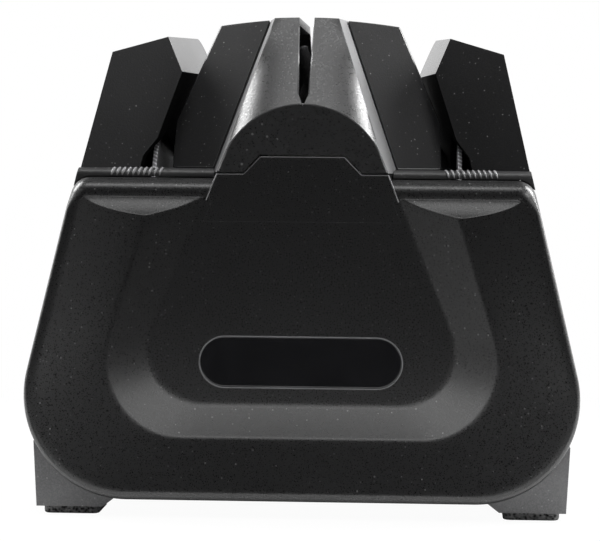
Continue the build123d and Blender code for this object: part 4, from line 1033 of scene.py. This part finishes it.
def tower_beads():
    """Fine pale beads on the tower's edges: arch, nose sides and slot, as painted highlight lines."""
    half, radius, centre, reach = nose_arch()
    crest = tower_half(NOSE_DEPTH, BLOCK_TOP)
    foot, sunk = TOWER_Z + 0.3, 0.22
    rise, lip_rise = BLOCK_TOP - NOSE_SPRING, BLOCK_TOP - NOSE_APEX
    share, lip_share = (CROWN_Z - 3.4 - NOSE_SPRING) / rise, (CROWN_Z - 3.0 - NOSE_APEX) / lip_rise
    beads = []
    for side in (-1, 1):
        face, back = side * (HALF_DEPTH - 0.2), side * NOSE_DEPTH
        arch = [(0.992 * radius * math.sin(a), face, centre - 0.2 + radius * math.cos(a))
                for a in np.linspace(-reach, reach, 49)]
        beads.append(bead(arch, 0.24))
        for hand in (-1, 1):
            start = (hand * (tower_half(0, foot) - sunk), face, foot)
            low = (hand * (half - sunk), face, NOSE_SPRING - 0.1)
            top = (hand * (half + (crest - half) * share - sunk), face - back * share,
                   NOSE_SPRING + rise * share - 0.1)
            beads.append(bead([start, low, top], 0.3))
            lip = [(hand * (1.52 + 0.9 * t), face - back * t, NOSE_APEX + lip_rise * t)
                   for t in (0.1, lip_share)]
            beads.append(bead(lip, 0.2))
    return joined(beads[0], beads[1:], "tower_painted_highlight_beads")


# ---- guides, made for the right side ---------------------------------------------------------
def channel_x(x, y):
    """A line beside the knife slot, toed in towards the rear."""
    return TOE_PIVOT[0] + (x - TOE_PIVOT[0]) / math.cos(TOE) - (y - TOE_PIVOT[1]) * math.tan(TOE)


def tangent(degrees):
    """Rise over run of an angle."""
    return math.tan(math.radians(degrees))


def paint_guide(obj, chosen):
    """Give a guide its finishes: pale edges and bevel as painted highlight, and the inner walls that a
    test chooses darker and matt as painted shade.
    """
    paint(obj, "guide", "guide_edge", "guide_bevel", "guide_wall")
    return paint_faces(obj, 3, chosen)


def wing_section(y):
    """The wing across its depth: outer face, top, lead-in bevel and the pocket's wall."""
    foot, top = side_x(GUIDE_TOP), side_x(GUIDE_TOP) - WING_TOP_IN
    rise = (BEVEL_PEAK[1] - WING_TOP_Z) / (top - BEVEL_PEAK[0])
    slant = (BEVEL_PEAK[0] - BEVEL_LIP[0]) / (BEVEL_PEAK[1] - BEVEL_LIP[1]) / math.cos(TOE)
    lip = channel_x(BEVEL_LIP[0], y)
    z = (WING_TOP_Z + (top - lip + slant * BEVEL_LIP[1]) * rise) / (1 + slant * rise)
    peak = lip + (z - BEVEL_LIP[1]) * slant
    pocket = (POCKET_ROOF, POCKET_FOOT, (SLOT_OUT, GUIDE_TOP))
    walls = [(channel_x(x, y), y, height) for x, height in pocket]
    return [(foot, y, GUIDE_TOP), (top, y, WING_TOP_Z), (peak, y, z), (lip, y, BEVEL_LIP[1])] + walls


def outer_guide(settings):
    """The wing: outer face, lead-in bevel, guiding wall and the pocket for the disc."""
    foot, reach = side_x(GUIDE_TOP), GUIDE_END - 4.0
    obj = lofted("right_outer_guide_moulding", [wing_section(-60.0), wing_section(60.0)])
    sliced(obj, (foot, -reach, GUIDE_TOP), (-tangent(23.6), -1, tangent(15.7)))
    sliced(obj, (foot, reach, GUIDE_TOP), (0, 1, tangent(8.0)))

    def rear_top(a, b):
        """The crosswise edges at the top of the rear."""
        return min(a.y, b.y) > 25 and min(a.z, b.z) > 137 and abs(a.x - b.x) > 5

    rounded_edges(obj, rear_top, 5.5, 10)
    combine(obj, [round_bar("pocket", 39.0, "x", (0.0, DISC_AXLE_Z), DISC_ROOM[0], SLOT_OUT, 96)])
    # Inner walls facing the slot take the darker fourth finish: painted shade.
    paint_guide(obj, lambda at, out: out.x < -0.6 and at.z < 130.0)
    # Upward lead-in bevel faces take the pale third finish: painted sheen.
    paint_faces(obj, 2, lambda at, out: out.x < -0.7 and out.z > 0.2 and at.z > 130.0)
    return softened(obj, settings.edge_round / MM)


def block_section(y):
    """The inner guide across its depth: foot, round top, slanting face and upright wall."""
    y_in = HALF_DEPTH - abs(y)
    foot_x, near_x = (tower_half(y_in, z, -0.3) for z in (GUIDE_TOP, CROWN_Z - 1.0))
    x_top = channel_x(KNEE[0] - (CROWN_Z - 2.0 - KNEE[1]) * KNEE_LEAN, y)
    for _ in range(6):
        x_top = channel_x(KNEE[0] - (crown(x_top) - KNEE[1]) * KNEE_LEAN, y)
    x_in = near_x - (crown(near_x) - (CROWN_Z - 1.0)) * TOWER_LEAN
    arc = [(x, y, crown(x)) for x in np.linspace(x_in, x_top, 7)]
    wall = [(channel_x(KNEE[0], y), y, KNEE[1]), (channel_x(SLOT_IN, y), y, GUIDE_TOP)]
    return [(foot_x, y, GUIDE_TOP)] + arc + wall


def inner_guide(settings):
    """The block beside the tower, whose slanting face holds the blade's angle."""
    bend, end = HALF_DEPTH - TOWER_FULL, 44.0
    corner_x, corner_y = 27.8, 37.5
    obj = lofted("right_inner_guide_moulding", [block_section(y) for y in (-end, -bend, bend, end)])
    for side in (-1, 1):
        sliced(obj, (corner_x, side * corner_y, TOWER_Z), (tangent(29.2), side, tangent(27.9)))
    # Inner walls facing the slot take the darker fourth finish: painted shade.
    paint_guide(obj, lambda at, out: abs(out.x) > 0.8 and (out.x < 0 or at.z < 118.0))
    return softened(obj, settings.edge_round / MM)


def strip_outline(low):
    """The strip from the front: flat above the deck, then down over the shoulder to its lip."""
    lip, gap, centre = DECK_Z - 2.7, BODY.top_r + STRIP_LIP, BODY.top_c
    shoulder = []
    for step in range(9):
        angle = math.pi / 2 + (math.asin((lip - centre[1]) / gap) - math.pi / 2) * step / 8
        shoulder.append((centre[0] + gap * math.cos(angle), centre[1] + gap * math.sin(angle)))
    return [(24.0, low), (24.0, GUIDE_TOP), (side_x(GUIDE_TOP) + STRIP_LIP, GUIDE_TOP),
            (side_x(lip) + STRIP_LIP, lip), *reversed(shoulder)]


def strip_cutters():
    """Room in the strip for the tower's foot, the knife channel and the disc."""
    low_w, wide_w, end = TOWER_FOOT + 0.3, TOWER_FOOT + TOWER_FULL * TOWER_SPLAY + 0.3, 37
    face, bend, beyond = HALF_DEPTH, HALF_DEPTH - TOWER_FULL, HALF_DEPTH + 5.0
    plan = [(0, -beyond), (low_w, -face), (wide_w, -bend), (wide_w, bend), (low_w, face), (0, beyond)]
    channel = [(channel_x(SLOT_IN, y), y) for y in (-end, end)]
    channel += [(channel_x(SLOT_OUT, y), y) for y in (end, -end)]
    near, far = DISC_ROOM
    disc = [(near, -end), (far, -end), (far, end), (near, end)]
    return [prism("tower_foot", plan, "z", 95, 110), prism("channel", channel, "z", 95, 110),
            prism("disc_room", disc, "z", 94, 111)]


def tail_wall():
    """The low wall that closes the knife channel behind the disc."""
    near, low = 41.0, 102.5
    outline = [(near, low), (SLOT_OUT, low), (SLOT_OUT, GUIDE_TOP), POCKET_FOOT, (46.81, TAIL_WALL_TOP),
               (near, TAIL_WALL_TOP)]
    return lofted("tail_wall", [[(channel_x(x, y), y, z) for x, z in outline] for y in TAIL_WALL])


def guide_strip():
    """Base strip under both guides, lapping the shoulder, with its pegs and its tail wall."""
    low = DECK_Z + 0.3
    obj = prism("right_guide_strip_moulding", strip_outline(low), "y", -GUIDE_END, GUIDE_END)

    def top_end(a, b):
        """The crosswise top edges at both ends."""
        at_end = abs(abs(a.y) - GUIDE_END) < 0.01 and abs(a.y - b.y) < 0.01
        return at_end and min(a.z, b.z) > GUIDE_TOP - 0.01

    rounded_edges(obj, top_end, STRIP_ROUND, 6)
    combine(obj, strip_cutters())
    extras = []
    for side in (-1, 1):
        peg = round_bar("peg", PEG_R, "z", (PEG_AT[0], side * PEG_AT[1]), DECK_Z - 10, low + 0.6, 48)
        extras.append(softened(peg, 0.7, 4, 40.0))
    extras.append(softened(tail_wall(), 0.4))
    return joined(softened(obj, 0.3), extras)


def ribs_tree(material):
    """Geometry nodes: a row of ribs from one rib, spaced along a step."""
    tree = bpy.data.node_groups.new("grip_ribs", "GeometryNodeTree")
    face = tree.interface
    face.new_socket("Rib", in_out="INPUT", socket_type="NodeSocketGeometry")
    count = face.new_socket("Count", in_out="INPUT", socket_type="NodeSocketInt")
    step = face.new_socket("Step", in_out="INPUT", socket_type="NodeSocketVector")
    face.new_socket("Ribs", in_out="OUTPUT", socket_type="NodeSocketGeometry")
    nodes, link = tree.nodes, tree.links.new
    source, sink = nodes.new("NodeGroupInput"), nodes.new("NodeGroupOutput")
    row = nodes.new("GeometryNodeMeshLine")
    row.mode = "OFFSET"
    place = nodes.new("GeometryNodeInstanceOnPoints")
    real = nodes.new("GeometryNodeRealizeInstances")
    skin = nodes.new("GeometryNodeSetMaterial")
    skin.inputs["Material"].default_value = material
    link(source.outputs["Count"], row.inputs["Count"])
    link(source.outputs["Step"], row.inputs["Offset"])
    link(row.outputs["Mesh"], place.inputs["Points"])
    link(source.outputs["Rib"], place.inputs["Instance"])
    link(place.outputs["Instances"], real.inputs["Geometry"])
    link(real.outputs["Geometry"], skin.inputs["Geometry"])
    link(skin.outputs["Geometry"], sink.inputs["Ribs"])
    return tree, {"Count": count.identifier, "Step": step.identifier}


def grip_rib():
    """One rib that bends over the strip's rounded front edge, drifting inwards, with thinner ends."""
    path, around, bend = 14, 10, STRIP_ROUND + 0.05
    start_x, drift, half_width, half_height = 43.2, 1.05, 0.46, 0.5
    centre_y, centre_z = -GUIDE_END + STRIP_ROUND, GUIDE_TOP - STRIP_ROUND
    rings = []
    for i in range(path + 1):
        t = i / path
        angle = math.pi / 2 * t
        swell = max(math.sin(math.pi * t) ** 0.4, 0.25)
        out = Vector((0, -math.cos(angle), math.sin(angle)))
        middle = Vector((start_x - drift * t, centre_y, centre_z)) + out * bend
        turns = [2 * math.pi * k / around for k in range(around)]
        wide, high = half_width * swell, half_height * swell
        rings.append([middle + Vector((wide * math.cos(a), 0, 0)) + out * (high * math.sin(a))
                      for a in turns])
    obj = lofted("right_grip_ribs", rings)
    obj.data.shade_smooth()
    return obj


def grip_ribs(settings, material):
    """Thumb grip: a row of slanting ribs, made pale as a painted highlight."""
    obj = grip_rib()
    tree, sockets = ribs_tree(material)
    step = obj.modifiers.new("ribs", "NODES")
    step.node_group = tree
    step[sockets["Count"]] = settings.ribs
    step[sockets["Step"]] = (settings.rib_pitch, 0.0, 0.0)
    return settled(obj)


# ---- badge, pads and base ---------------------------------------------------------------------
def stadium(length, height, count=28):
    """Points round a lying slot shape, anticlockwise from the right end."""
    radius, run = height / 2, length / 2 - height / 2
    points = []
    for start, centre in ((-math.pi / 2, run), (math.pi / 2, -run)):
        for i in range(count + 1):
            angle = start + math.pi * i / count
            points.append((centre + radius * math.cos(angle), radius * math.sin(angle)))
    return np.array(points)


def badge(name, steps):
    """A plate made of stadium rings: each step is inset, height over the face."""
    rings = []
    for inset, proud in steps:
        length, height = (size - 2 * inset for size in BADGE_SIZE)
        rings.append([(x, -HALF_DEPTH - proud, BADGE_Z + z) for x, z in stadium(length, height)])
    obj = lofted(name, rings)
    obj.data.shade_smooth()
    return obj


def foot_pads():
    """Four foam pads with soft, slightly bulging edges."""
    half_x, half_y, corner_r, place_x, place_y = 8.4, 11.0, 2.5, 68.8, 38.0
    levels = ((0.5, 0.0), (0.12, 0.2), (0.0, 0.7), (0.02, 1.2), (0.0, 1.8), (0.1, 2.38))
    rng = np.random.default_rng(7)
    pads = []
    for sx in (-1, 1):
        for sy in (-1, 1):
            rings = []
            for inset, z in levels:
                ring = []
                for corner, (cx, cy) in enumerate(((1, 1), (-1, 1), (-1, -1), (1, -1))):
                    for k in range(9):
                        a = math.pi / 2 * (corner + k / 8)
                        r = corner_r - inset + (rng.uniform(-0.05, 0.05) if inset < 0.4 else 0)
                        ring.append((sx * place_x + cx * (half_x - corner_r) + r * math.cos(a),
                                     sy * place_y + cy * (half_y - corner_r) + r * math.sin(a), z))
                rings.append(ring)
            pads.append(lofted("pad", rings))
    return softened(joined(pads[0], pads[1:], "foam_foot_pads"), 0.15, 2, 50.0)


# ---- operators -----------------------------------------------------------------------------
def dress(obj, finish, body, replaces=()):
    """Give a finished piece its material and its body, and hide the construction nodes that it stands in
    for.
    """
    paint(obj, finish)
    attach(obj, body)
    if replaces:
        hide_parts(*replaces)


class SHARPENER_OT_finishes(bpy.types.Operator):
    """Make every finish and give it to the construction nodes"""
    bl_idname = "sharpener.finishes"
    bl_label = "Finishes"

    def execute(self, context):
        scene = context.scene
        shells, guides, tower = scene.sharpener_shells, scene.sharpener_guides, scene.sharpener_tower
        grained = {
            "shell": ("shell_grain", tuple(shells.colour), 0.42, 0.3, 0.45, 1.0, 0.01, 0.5),
            "guide": ("guide_grain", tuple(guides.colour), 0.38, 0.44, 0.45, 0.22),
            "tower": ("tower_grain", tuple(tower.colour), 0.62, 0.31, 0.4, 1.0, 0.02, 0.5),
            # Pale copy of the tower's black plastic for its flanks: a painted sheen.
            "tower_flank": ("tower_flank_grain", (0.17, 0.17, 0.173), 0.5, 0.42, 0.2, 1.0, 0.02),
            "strip": ("strip_grain", (0.017, 0.017, 0.0175), 0.42, 0.4, 0.4, 1.0, 0.015),
            # Darker matt copy of the guides' plastic for the slot walls: painted shade.
            "guide_wall": ("guide_wall_matt", (0.005, 0.005, 0.0053), 0.45, 0.8, 0.1, 0.02, 0.03),
            "base": ("base_grain", tuple(shells.base_colour), 0.4, 0.55, 0.3, 0.45),
            "soft_rubber": ("ring_rubber", (0.015, 0.015, 0.015), 0.6, 0.8, 0.1, 0.3),
            "carbon": ("pressed_carbon", (0.02, 0.02, 0.021), 0.3, 0.6, 0.2, 0.4),
            "nylon": ("natural_nylon", (0.6, 0.59, 0.55), 0.5, 0.45, 0.0, 0.45),
        }
        polished = {
            # Pale polished copy of the tower's plastic for its edges and beads: painted highlight.
            "tower_edge": ("tower_edge_polish", (0.14, 0.14, 0.143), 0.22, 1.0),
            # Paler polished copy of the guides' plastic for their rounded edges: painted highlight.
            "guide_edge": ("guide_edge_polish", (0.025, 0.025, 0.026), 0.15, 1.0),
            # Pale copy of the guides' plastic for the lead-in bevels: painted sheen.
            "guide_bevel": ("guide_bevel_polish", (0.06, 0.06, 0.062), 0.2, 0.8),
            # Pale copy of the guides' black plastic for the grip ribs: painted highlight.
            "rib": ("rib_polish", (0.24, 0.24, 0.245), 0.12, 1.0),
            # Pale copy of the shells' black plastic for rounded edges and beads: painted highlight.
            "shell_edge": ("shell_edge_polish", (0.13, 0.13, 0.133), 0.36, 0.8),
            "badge": ("badge_gloss", (0.006, 0.006, 0.007), 0.1, 0.5),
            # Pale satin for the badge's border ring: painted highlight on its chamfer.
            "badge_line": ("badge_line_satin", (0.16, 0.16, 0.165), 0.3, 0.5),
            "button": ("button_satin", (0.05, 0.05, 0.052), 0.32, 0.45),
            "component": ("component_black", (0.02, 0.02, 0.022), 0.4, 0.4),
            "lead": ("lead_red", (0.45, 0.03, 0.02), 0.35, 0.4),
        }
        metals = {
            "steel": ("plated_steel", (0.56, 0.56, 0.57)),
            "copper": ("wound_copper", (0.72, 0.33, 0.15), 0.35, (1, 12, 1), 0.5, 0.03),
            "bronze": ("sintered_bronze", (0.55, 0.36, 0.17), 0.4),
            "ferrite": ("ground_ferrite", (0.09, 0.09, 0.095), 0.5),
        }
        for make, rows in ((grained_plastic, grained), (polished_plastic, polished), (metal, metals)):
            FINISHES.update({key: make(*row) for key, row in rows.items()})
        FINISHES.update({
            "foam": foam("pad_foam", (0.03, 0.03, 0.03)),
            "abrasive": abrasive("disc_grit", (0.42, 0.42, 0.43)),
            "ceramic": ceramic("hone_ceramic", (0.055, 0.055, 0.058)),
            "board": circuit_board("board_laminate", (0.02, 0.13, 0.06)),
            "lens": clear_plastic("clear_lens", (0.85, 0.88, 0.9)),
        })
        by_slot = {
            "shell_plastic": "shell", "guide_plastic": "guide", "tower_plastic": "tower",
            "base_plastic": "base", "badge_plastic": "badge", "button_plastic": "button",
            "foam_rubber": "foam", "soft_rubber": "soft_rubber", "abrasive_steel": "abrasive",
            "hone_ceramic": "ceramic", "steel": "steel", "copper": "copper", "bronze": "bronze",
            "ferrite": "ferrite", "carbon": "carbon", "nylon": "nylon", "board_laminate": "board",
            "component_black": "component", "clear_lens": "lens", "lead_insulation": "lead",
        }
        slots = {part["node"]: part["material_slot"] for part in frame["record"]["subparts"]}
        for node, obj in frame["nodes"].items():
            obj.data.materials.clear()
            obj.data.materials.append(FINISHES[by_slot[slots[node]]])
        return {"FINISHED"}


class SHARPENER_OT_shells(bpy.types.Operator):
    """Mould the front and rear shells"""
    bl_idname = "sharpener.shells"
    bl_label = "Body Shells"

    def execute(self, context):
        settings = context.scene.sharpener_shells
        front = body_shell("front_shell", -1, settings, deck_cutters(-1))
        front = paint(joined_keeping(front, panel_head(-1)), "shell", "shell_edge")
        dress(front, "shell", "housing", ("front_housing",))
        rear = body_shell("rear_shell", 1, settings, deck_cutters(1) + rear_cutters())
        rear = paint(joined_keeping(rear, panel_head(1)), "shell", "shell_edge")
        dress(rear, "shell", "housing", ("rear_housing",))
        # Pale beads down the panels' sides: painted highlight lines.
        dress(panel_beads(), "shell_edge", "housing", ())
        return {"FINISHED"}


class SHARPENER_OT_tower(bpy.types.Operator):
    """Mould the tower with the hone slot"""
    bl_idname = "sharpener.tower"
    bl_label = "Hone Tower"

    def execute(self, context):
        tower = hone_tower(context.scene.sharpener_tower)
        dress(tower, "tower", "housing", ("hone_tower",))
        # Pale beads along the tower's edges: painted highlight lines.
        dress(tower_beads(), "tower_edge", "housing", ())
        return {"FINISHED"}


class SHARPENER_OT_guides(bpy.types.Operator):
    """Mould both lift-off blade guides"""
    bl_idname = "sharpener.guides"
    bl_label = "Blade Guides"

    def execute(self, context):
        settings = context.scene.sharpener_guides
        parts = {"outer_guide": outer_guide(settings), "inner_guide": inner_guide(settings),
                 "guide_base": guide_strip()}
        for node, obj in parts.items():
            finish = "strip" if node == "guide_base" else "guide"
            twin = mirrored(obj, obj.name.replace("right", "left"))
            dress(obj, finish, "right_guide", ("right_" + node,))
            dress(twin, finish, "left_guide", ("left_" + node,))
        # The ribs take the pale rib finish: painted highlight.
        ribs = grip_ribs(settings, FINISHES["rib"])
        twin = mirrored(ribs, "left_grip_ribs")
        dress(ribs, "rib", "right_guide", ())
        dress(twin, "rib", "left_guide", ())
        return {"FINISHED"}


class SHARPENER_OT_base(bpy.types.Operator):
    """Make the base frame with its legs and foam pads"""
    bl_idname = "sharpener.base"
    bl_label = "Base and Pads"

    def execute(self, context):
        base = softened(node_copy("base_frame", "base_frame_moulding"), 0.5)
        dress(base, "base", "housing", ("base_frame",))
        dress(foot_pads(), "foam", "housing", ("foot_pads",))
        return {"FINISHED"}


class SHARPENER_OT_badge(bpy.types.Operator):
    """Set the bare badge plate and its fine border in the front panel; the border's pale colour is a
    painted highlight on its chamfer
    """
    bl_idname = "sharpener.badge"
    bl_label = "Badge Plate"

    def execute(self, context):
        plate = badge("badge_face", ((0.5, -0.6), (0.5, 0.18), (0.62, 0.28), (0.9, 0.3)))
        dress(plate, "badge", "housing", ("badge_plate",))
        # The border ring is pale: painted highlight on its chamfer.
        line = badge("badge_border", ((0.0, -0.6), (0.0, 0.02), (0.1, 0.12), (0.3, 0.14), (0.45, 0.05),
                                      (0.5, -0.6)))
        dress(line, "badge_line", "housing", ())
        return {"FINISHED"}


class SHARPENER_OT_stage(bpy.types.Operator):
    """Set up the camera, the pale floor and the soft light"""
    bl_idname = "sharpener.stage"
    bl_label = "Studio"

    def execute(self, context):
        scene = context.scene
        settings = scene.sharpener_stage
        lens = bpy.data.cameras.new("camera")
        lens.lens = settings.lens
        lens.sensor_width = 36.0
        lens.clip_start, lens.clip_end = 0.01, 50.0
        camera = bpy.data.objects.new("camera", lens)
        scene.collection.objects.link(camera)
        camera.matrix_world = camera_place((0.0394, -0.8552, 0.1121), 2.85, 2.72, 0.52)
        scene.camera = camera
        wide, front = 6000, -150
        corners = [(-wide, front, 0), (wide, front, 0), (wide, wide, 0), (-wide, wide, 0)]
        floor = make_object("floor", corners, [(0, 1, 2, 3)])
        floor.data.materials.append(floor_finish(settings.shadow))
        scene.world = scene.world or bpy.data.worlds.new("studio")
        dress_world(scene.world, settings.front_level, settings.right_level)
        middle = (0, 0, 0)
        top = add_light("top", settings.top_power, (1.2, 0.5), (0.0, 0.03, 1.3), middle)
        top.visible_glossy = False
        add_light("front_top", settings.front_top_power, (1.2, 0.3), (0.0, -0.4, 1.25), middle)
        add_light("front_right", settings.front_right_power, (0.5, 0.5), (1.0, -0.6, 0.6), (0, 0, 0.05))
        for hand, name in ((-1, "left"), (1, "right")):
            power = settings.side_power * (1.0 + 0.15 * hand)
            add_light(name, power, (0.4, 1.0), (hand * 1.1, 0.4, 0.78), (0, 0, 0.1))
        scene.view_settings.view_transform = "Standard"
        return {"FINISHED"}


def camera_place(place, yaw, pitch, roll):
    """Where the camera stands and how it is turned, in metres and degrees."""
    yaw, pitch, roll = (math.radians(a) for a in (yaw, pitch, roll))
    level = math.cos(pitch)
    ahead = Vector((-math.sin(yaw) * level, math.cos(yaw) * level, -math.sin(pitch)))
    right = Vector((math.cos(yaw), math.sin(yaw), 0))
    up = right.cross(ahead)
    cos, sin = math.cos(roll), math.sin(roll)
    right, up = right * cos + up * sin, up * cos - right * sin
    return Matrix.Translation(place) @ Matrix((right, up, -ahead)).transposed().to_4x4()


def camera_sees(f):
    """1 where the camera itself looks, 0 for every other ray."""
    return f.node("ShaderNodeLightPath", output="Is Camera Ray")


def floor_finish(shadow):
    """A pale matt floor that reads white to the camera, under the sharpener's own shadow."""
    f = Finish("floor_pale")
    mottle = f.noise(180.0, 2.0)
    tone = f.mix(f.spread(mottle, 0.3, 0.7), (0.86, 0.86, 0.86), (0.9, 0.9, 0.9))
    matt = f.node("ShaderNodeBsdfDiffuse", {}, {"Color": tone})
    glow = f.node("ShaderNodeEmission", {}, {"Color": (1.0, 1.0, 1.0), "Strength": 1.0})
    reach = f.node("ShaderNodeVectorMath", {"operation": "LENGTH"}, {0: f.coords()}, "Value")
    far = f.spread(reach, 0.12, 0.35, 0.96, 1.0)
    white = camera_sees(f) * (far if shadow else 1.0)
    return f.output(f.node("ShaderNodeMixShader", {}, {0: white, 1: matt, 2: glow}))


def dress_world(world, front, right):
    """A white room behind and a dim one in front, paler to the right; the camera sees only white."""
    f = Finish("room", world)
    around = f.node("ShaderNodeTexCoord", output="Generated")
    x, y, z = (f.axis(name, around) for name in ("X", "Y", "Z"))
    level = f.spread(y, -0.85, 0.7, front, 1.0, False) * f.spread(z, 0.35, 0.8, 1.0, 0.3)
    level = level + f.spread(x, 0.15, 0.65, 0.0, right)
    level = level + f.spread(x, 0.2, 0.6) * f.spread(z, -0.3, -0.05, right, 0.0)
    strength = f.node("ShaderNodeMix", {"data_type": "FLOAT"},
                      {"Factor_Float": camera_sees(f), "A_Float": level, "B_Float": 1.0}, "Result_Float")
    room = f.node("ShaderNodeBackground", {}, {"Color": (1.0, 1.0, 1.0), "Strength": strength})
    f.output(room, "ShaderNodeOutputWorld")


def add_light(name, power, size, place, target):
    """A soft light of a width and a length, aimed at a point and unseen by the camera."""
    lamp = bpy.data.lights.new(name, "AREA")
    lamp.shape = "RECTANGLE"
    lamp.energy = power
    lamp.size, lamp.size_y = size
    obj = bpy.data.objects.new(name, lamp)
    bpy.context.scene.collection.objects.link(obj)
    obj.location = place
    obj.visible_camera = False
    obj.rotation_mode = "QUATERNION"
    obj.rotation_quaternion = (Vector(target) - Vector(place)).to_track_quat("-Z", "Y")
    return obj


class SHARPENER_PT_panel(bpy.types.Panel):
    """Lists the settings and the steps that build the sharpener"""
    bl_idname = "SHARPENER_PT_panel"
    bl_label = "Knife Sharpener"
    bl_space_type = "VIEW_3D"
    bl_region_type = "UI"
    bl_category = "Sharpener"

    def draw(self, context):
        column = self.layout.column()
        for group, name in GROUPS.items():
            settings = getattr(context.scene, name)
            box = column.box()
            box.label(text=settings.bl_rna.description)
            for key in group.__annotations__:
                box.prop(settings, key)
        for operator in STEPS:
            column.operator(operator.bl_idname)


GROUPS = {
    SharpenerShells: "sharpener_shells",
    SharpenerGuides: "sharpener_guides",
    SharpenerTower: "sharpener_tower",
    SharpenerStage: "sharpener_stage",
}
STEPS = (SHARPENER_OT_stage, SHARPENER_OT_finishes, SHARPENER_OT_shells, SHARPENER_OT_tower,
         SHARPENER_OT_guides, SHARPENER_OT_base, SHARPENER_OT_badge)


def register():
    """Register the classes and hang the settings on the scene."""
    for cls in (*GROUPS, *STEPS, SHARPENER_PT_panel):
        bpy.utils.register_class(cls)
    for group, name in GROUPS.items():
        setattr(bpy.types.Scene, name, PointerProperty(type=group))


def unregister():
    """Take the settings and the classes away again."""
    for name in GROUPS.values():
        delattr(bpy.types.Scene, name)
    for cls in reversed((*GROUPS, *STEPS, SHARPENER_PT_panel)):
        bpy.utils.unregister_class(cls)


def main():
    """Register the classes and run every step in order."""
    register()
    for step in STEPS:
        group, name = step.bl_idname.split(".")
        getattr(getattr(bpy.ops, group), name)()


if __name__ == "__main__":
    main()
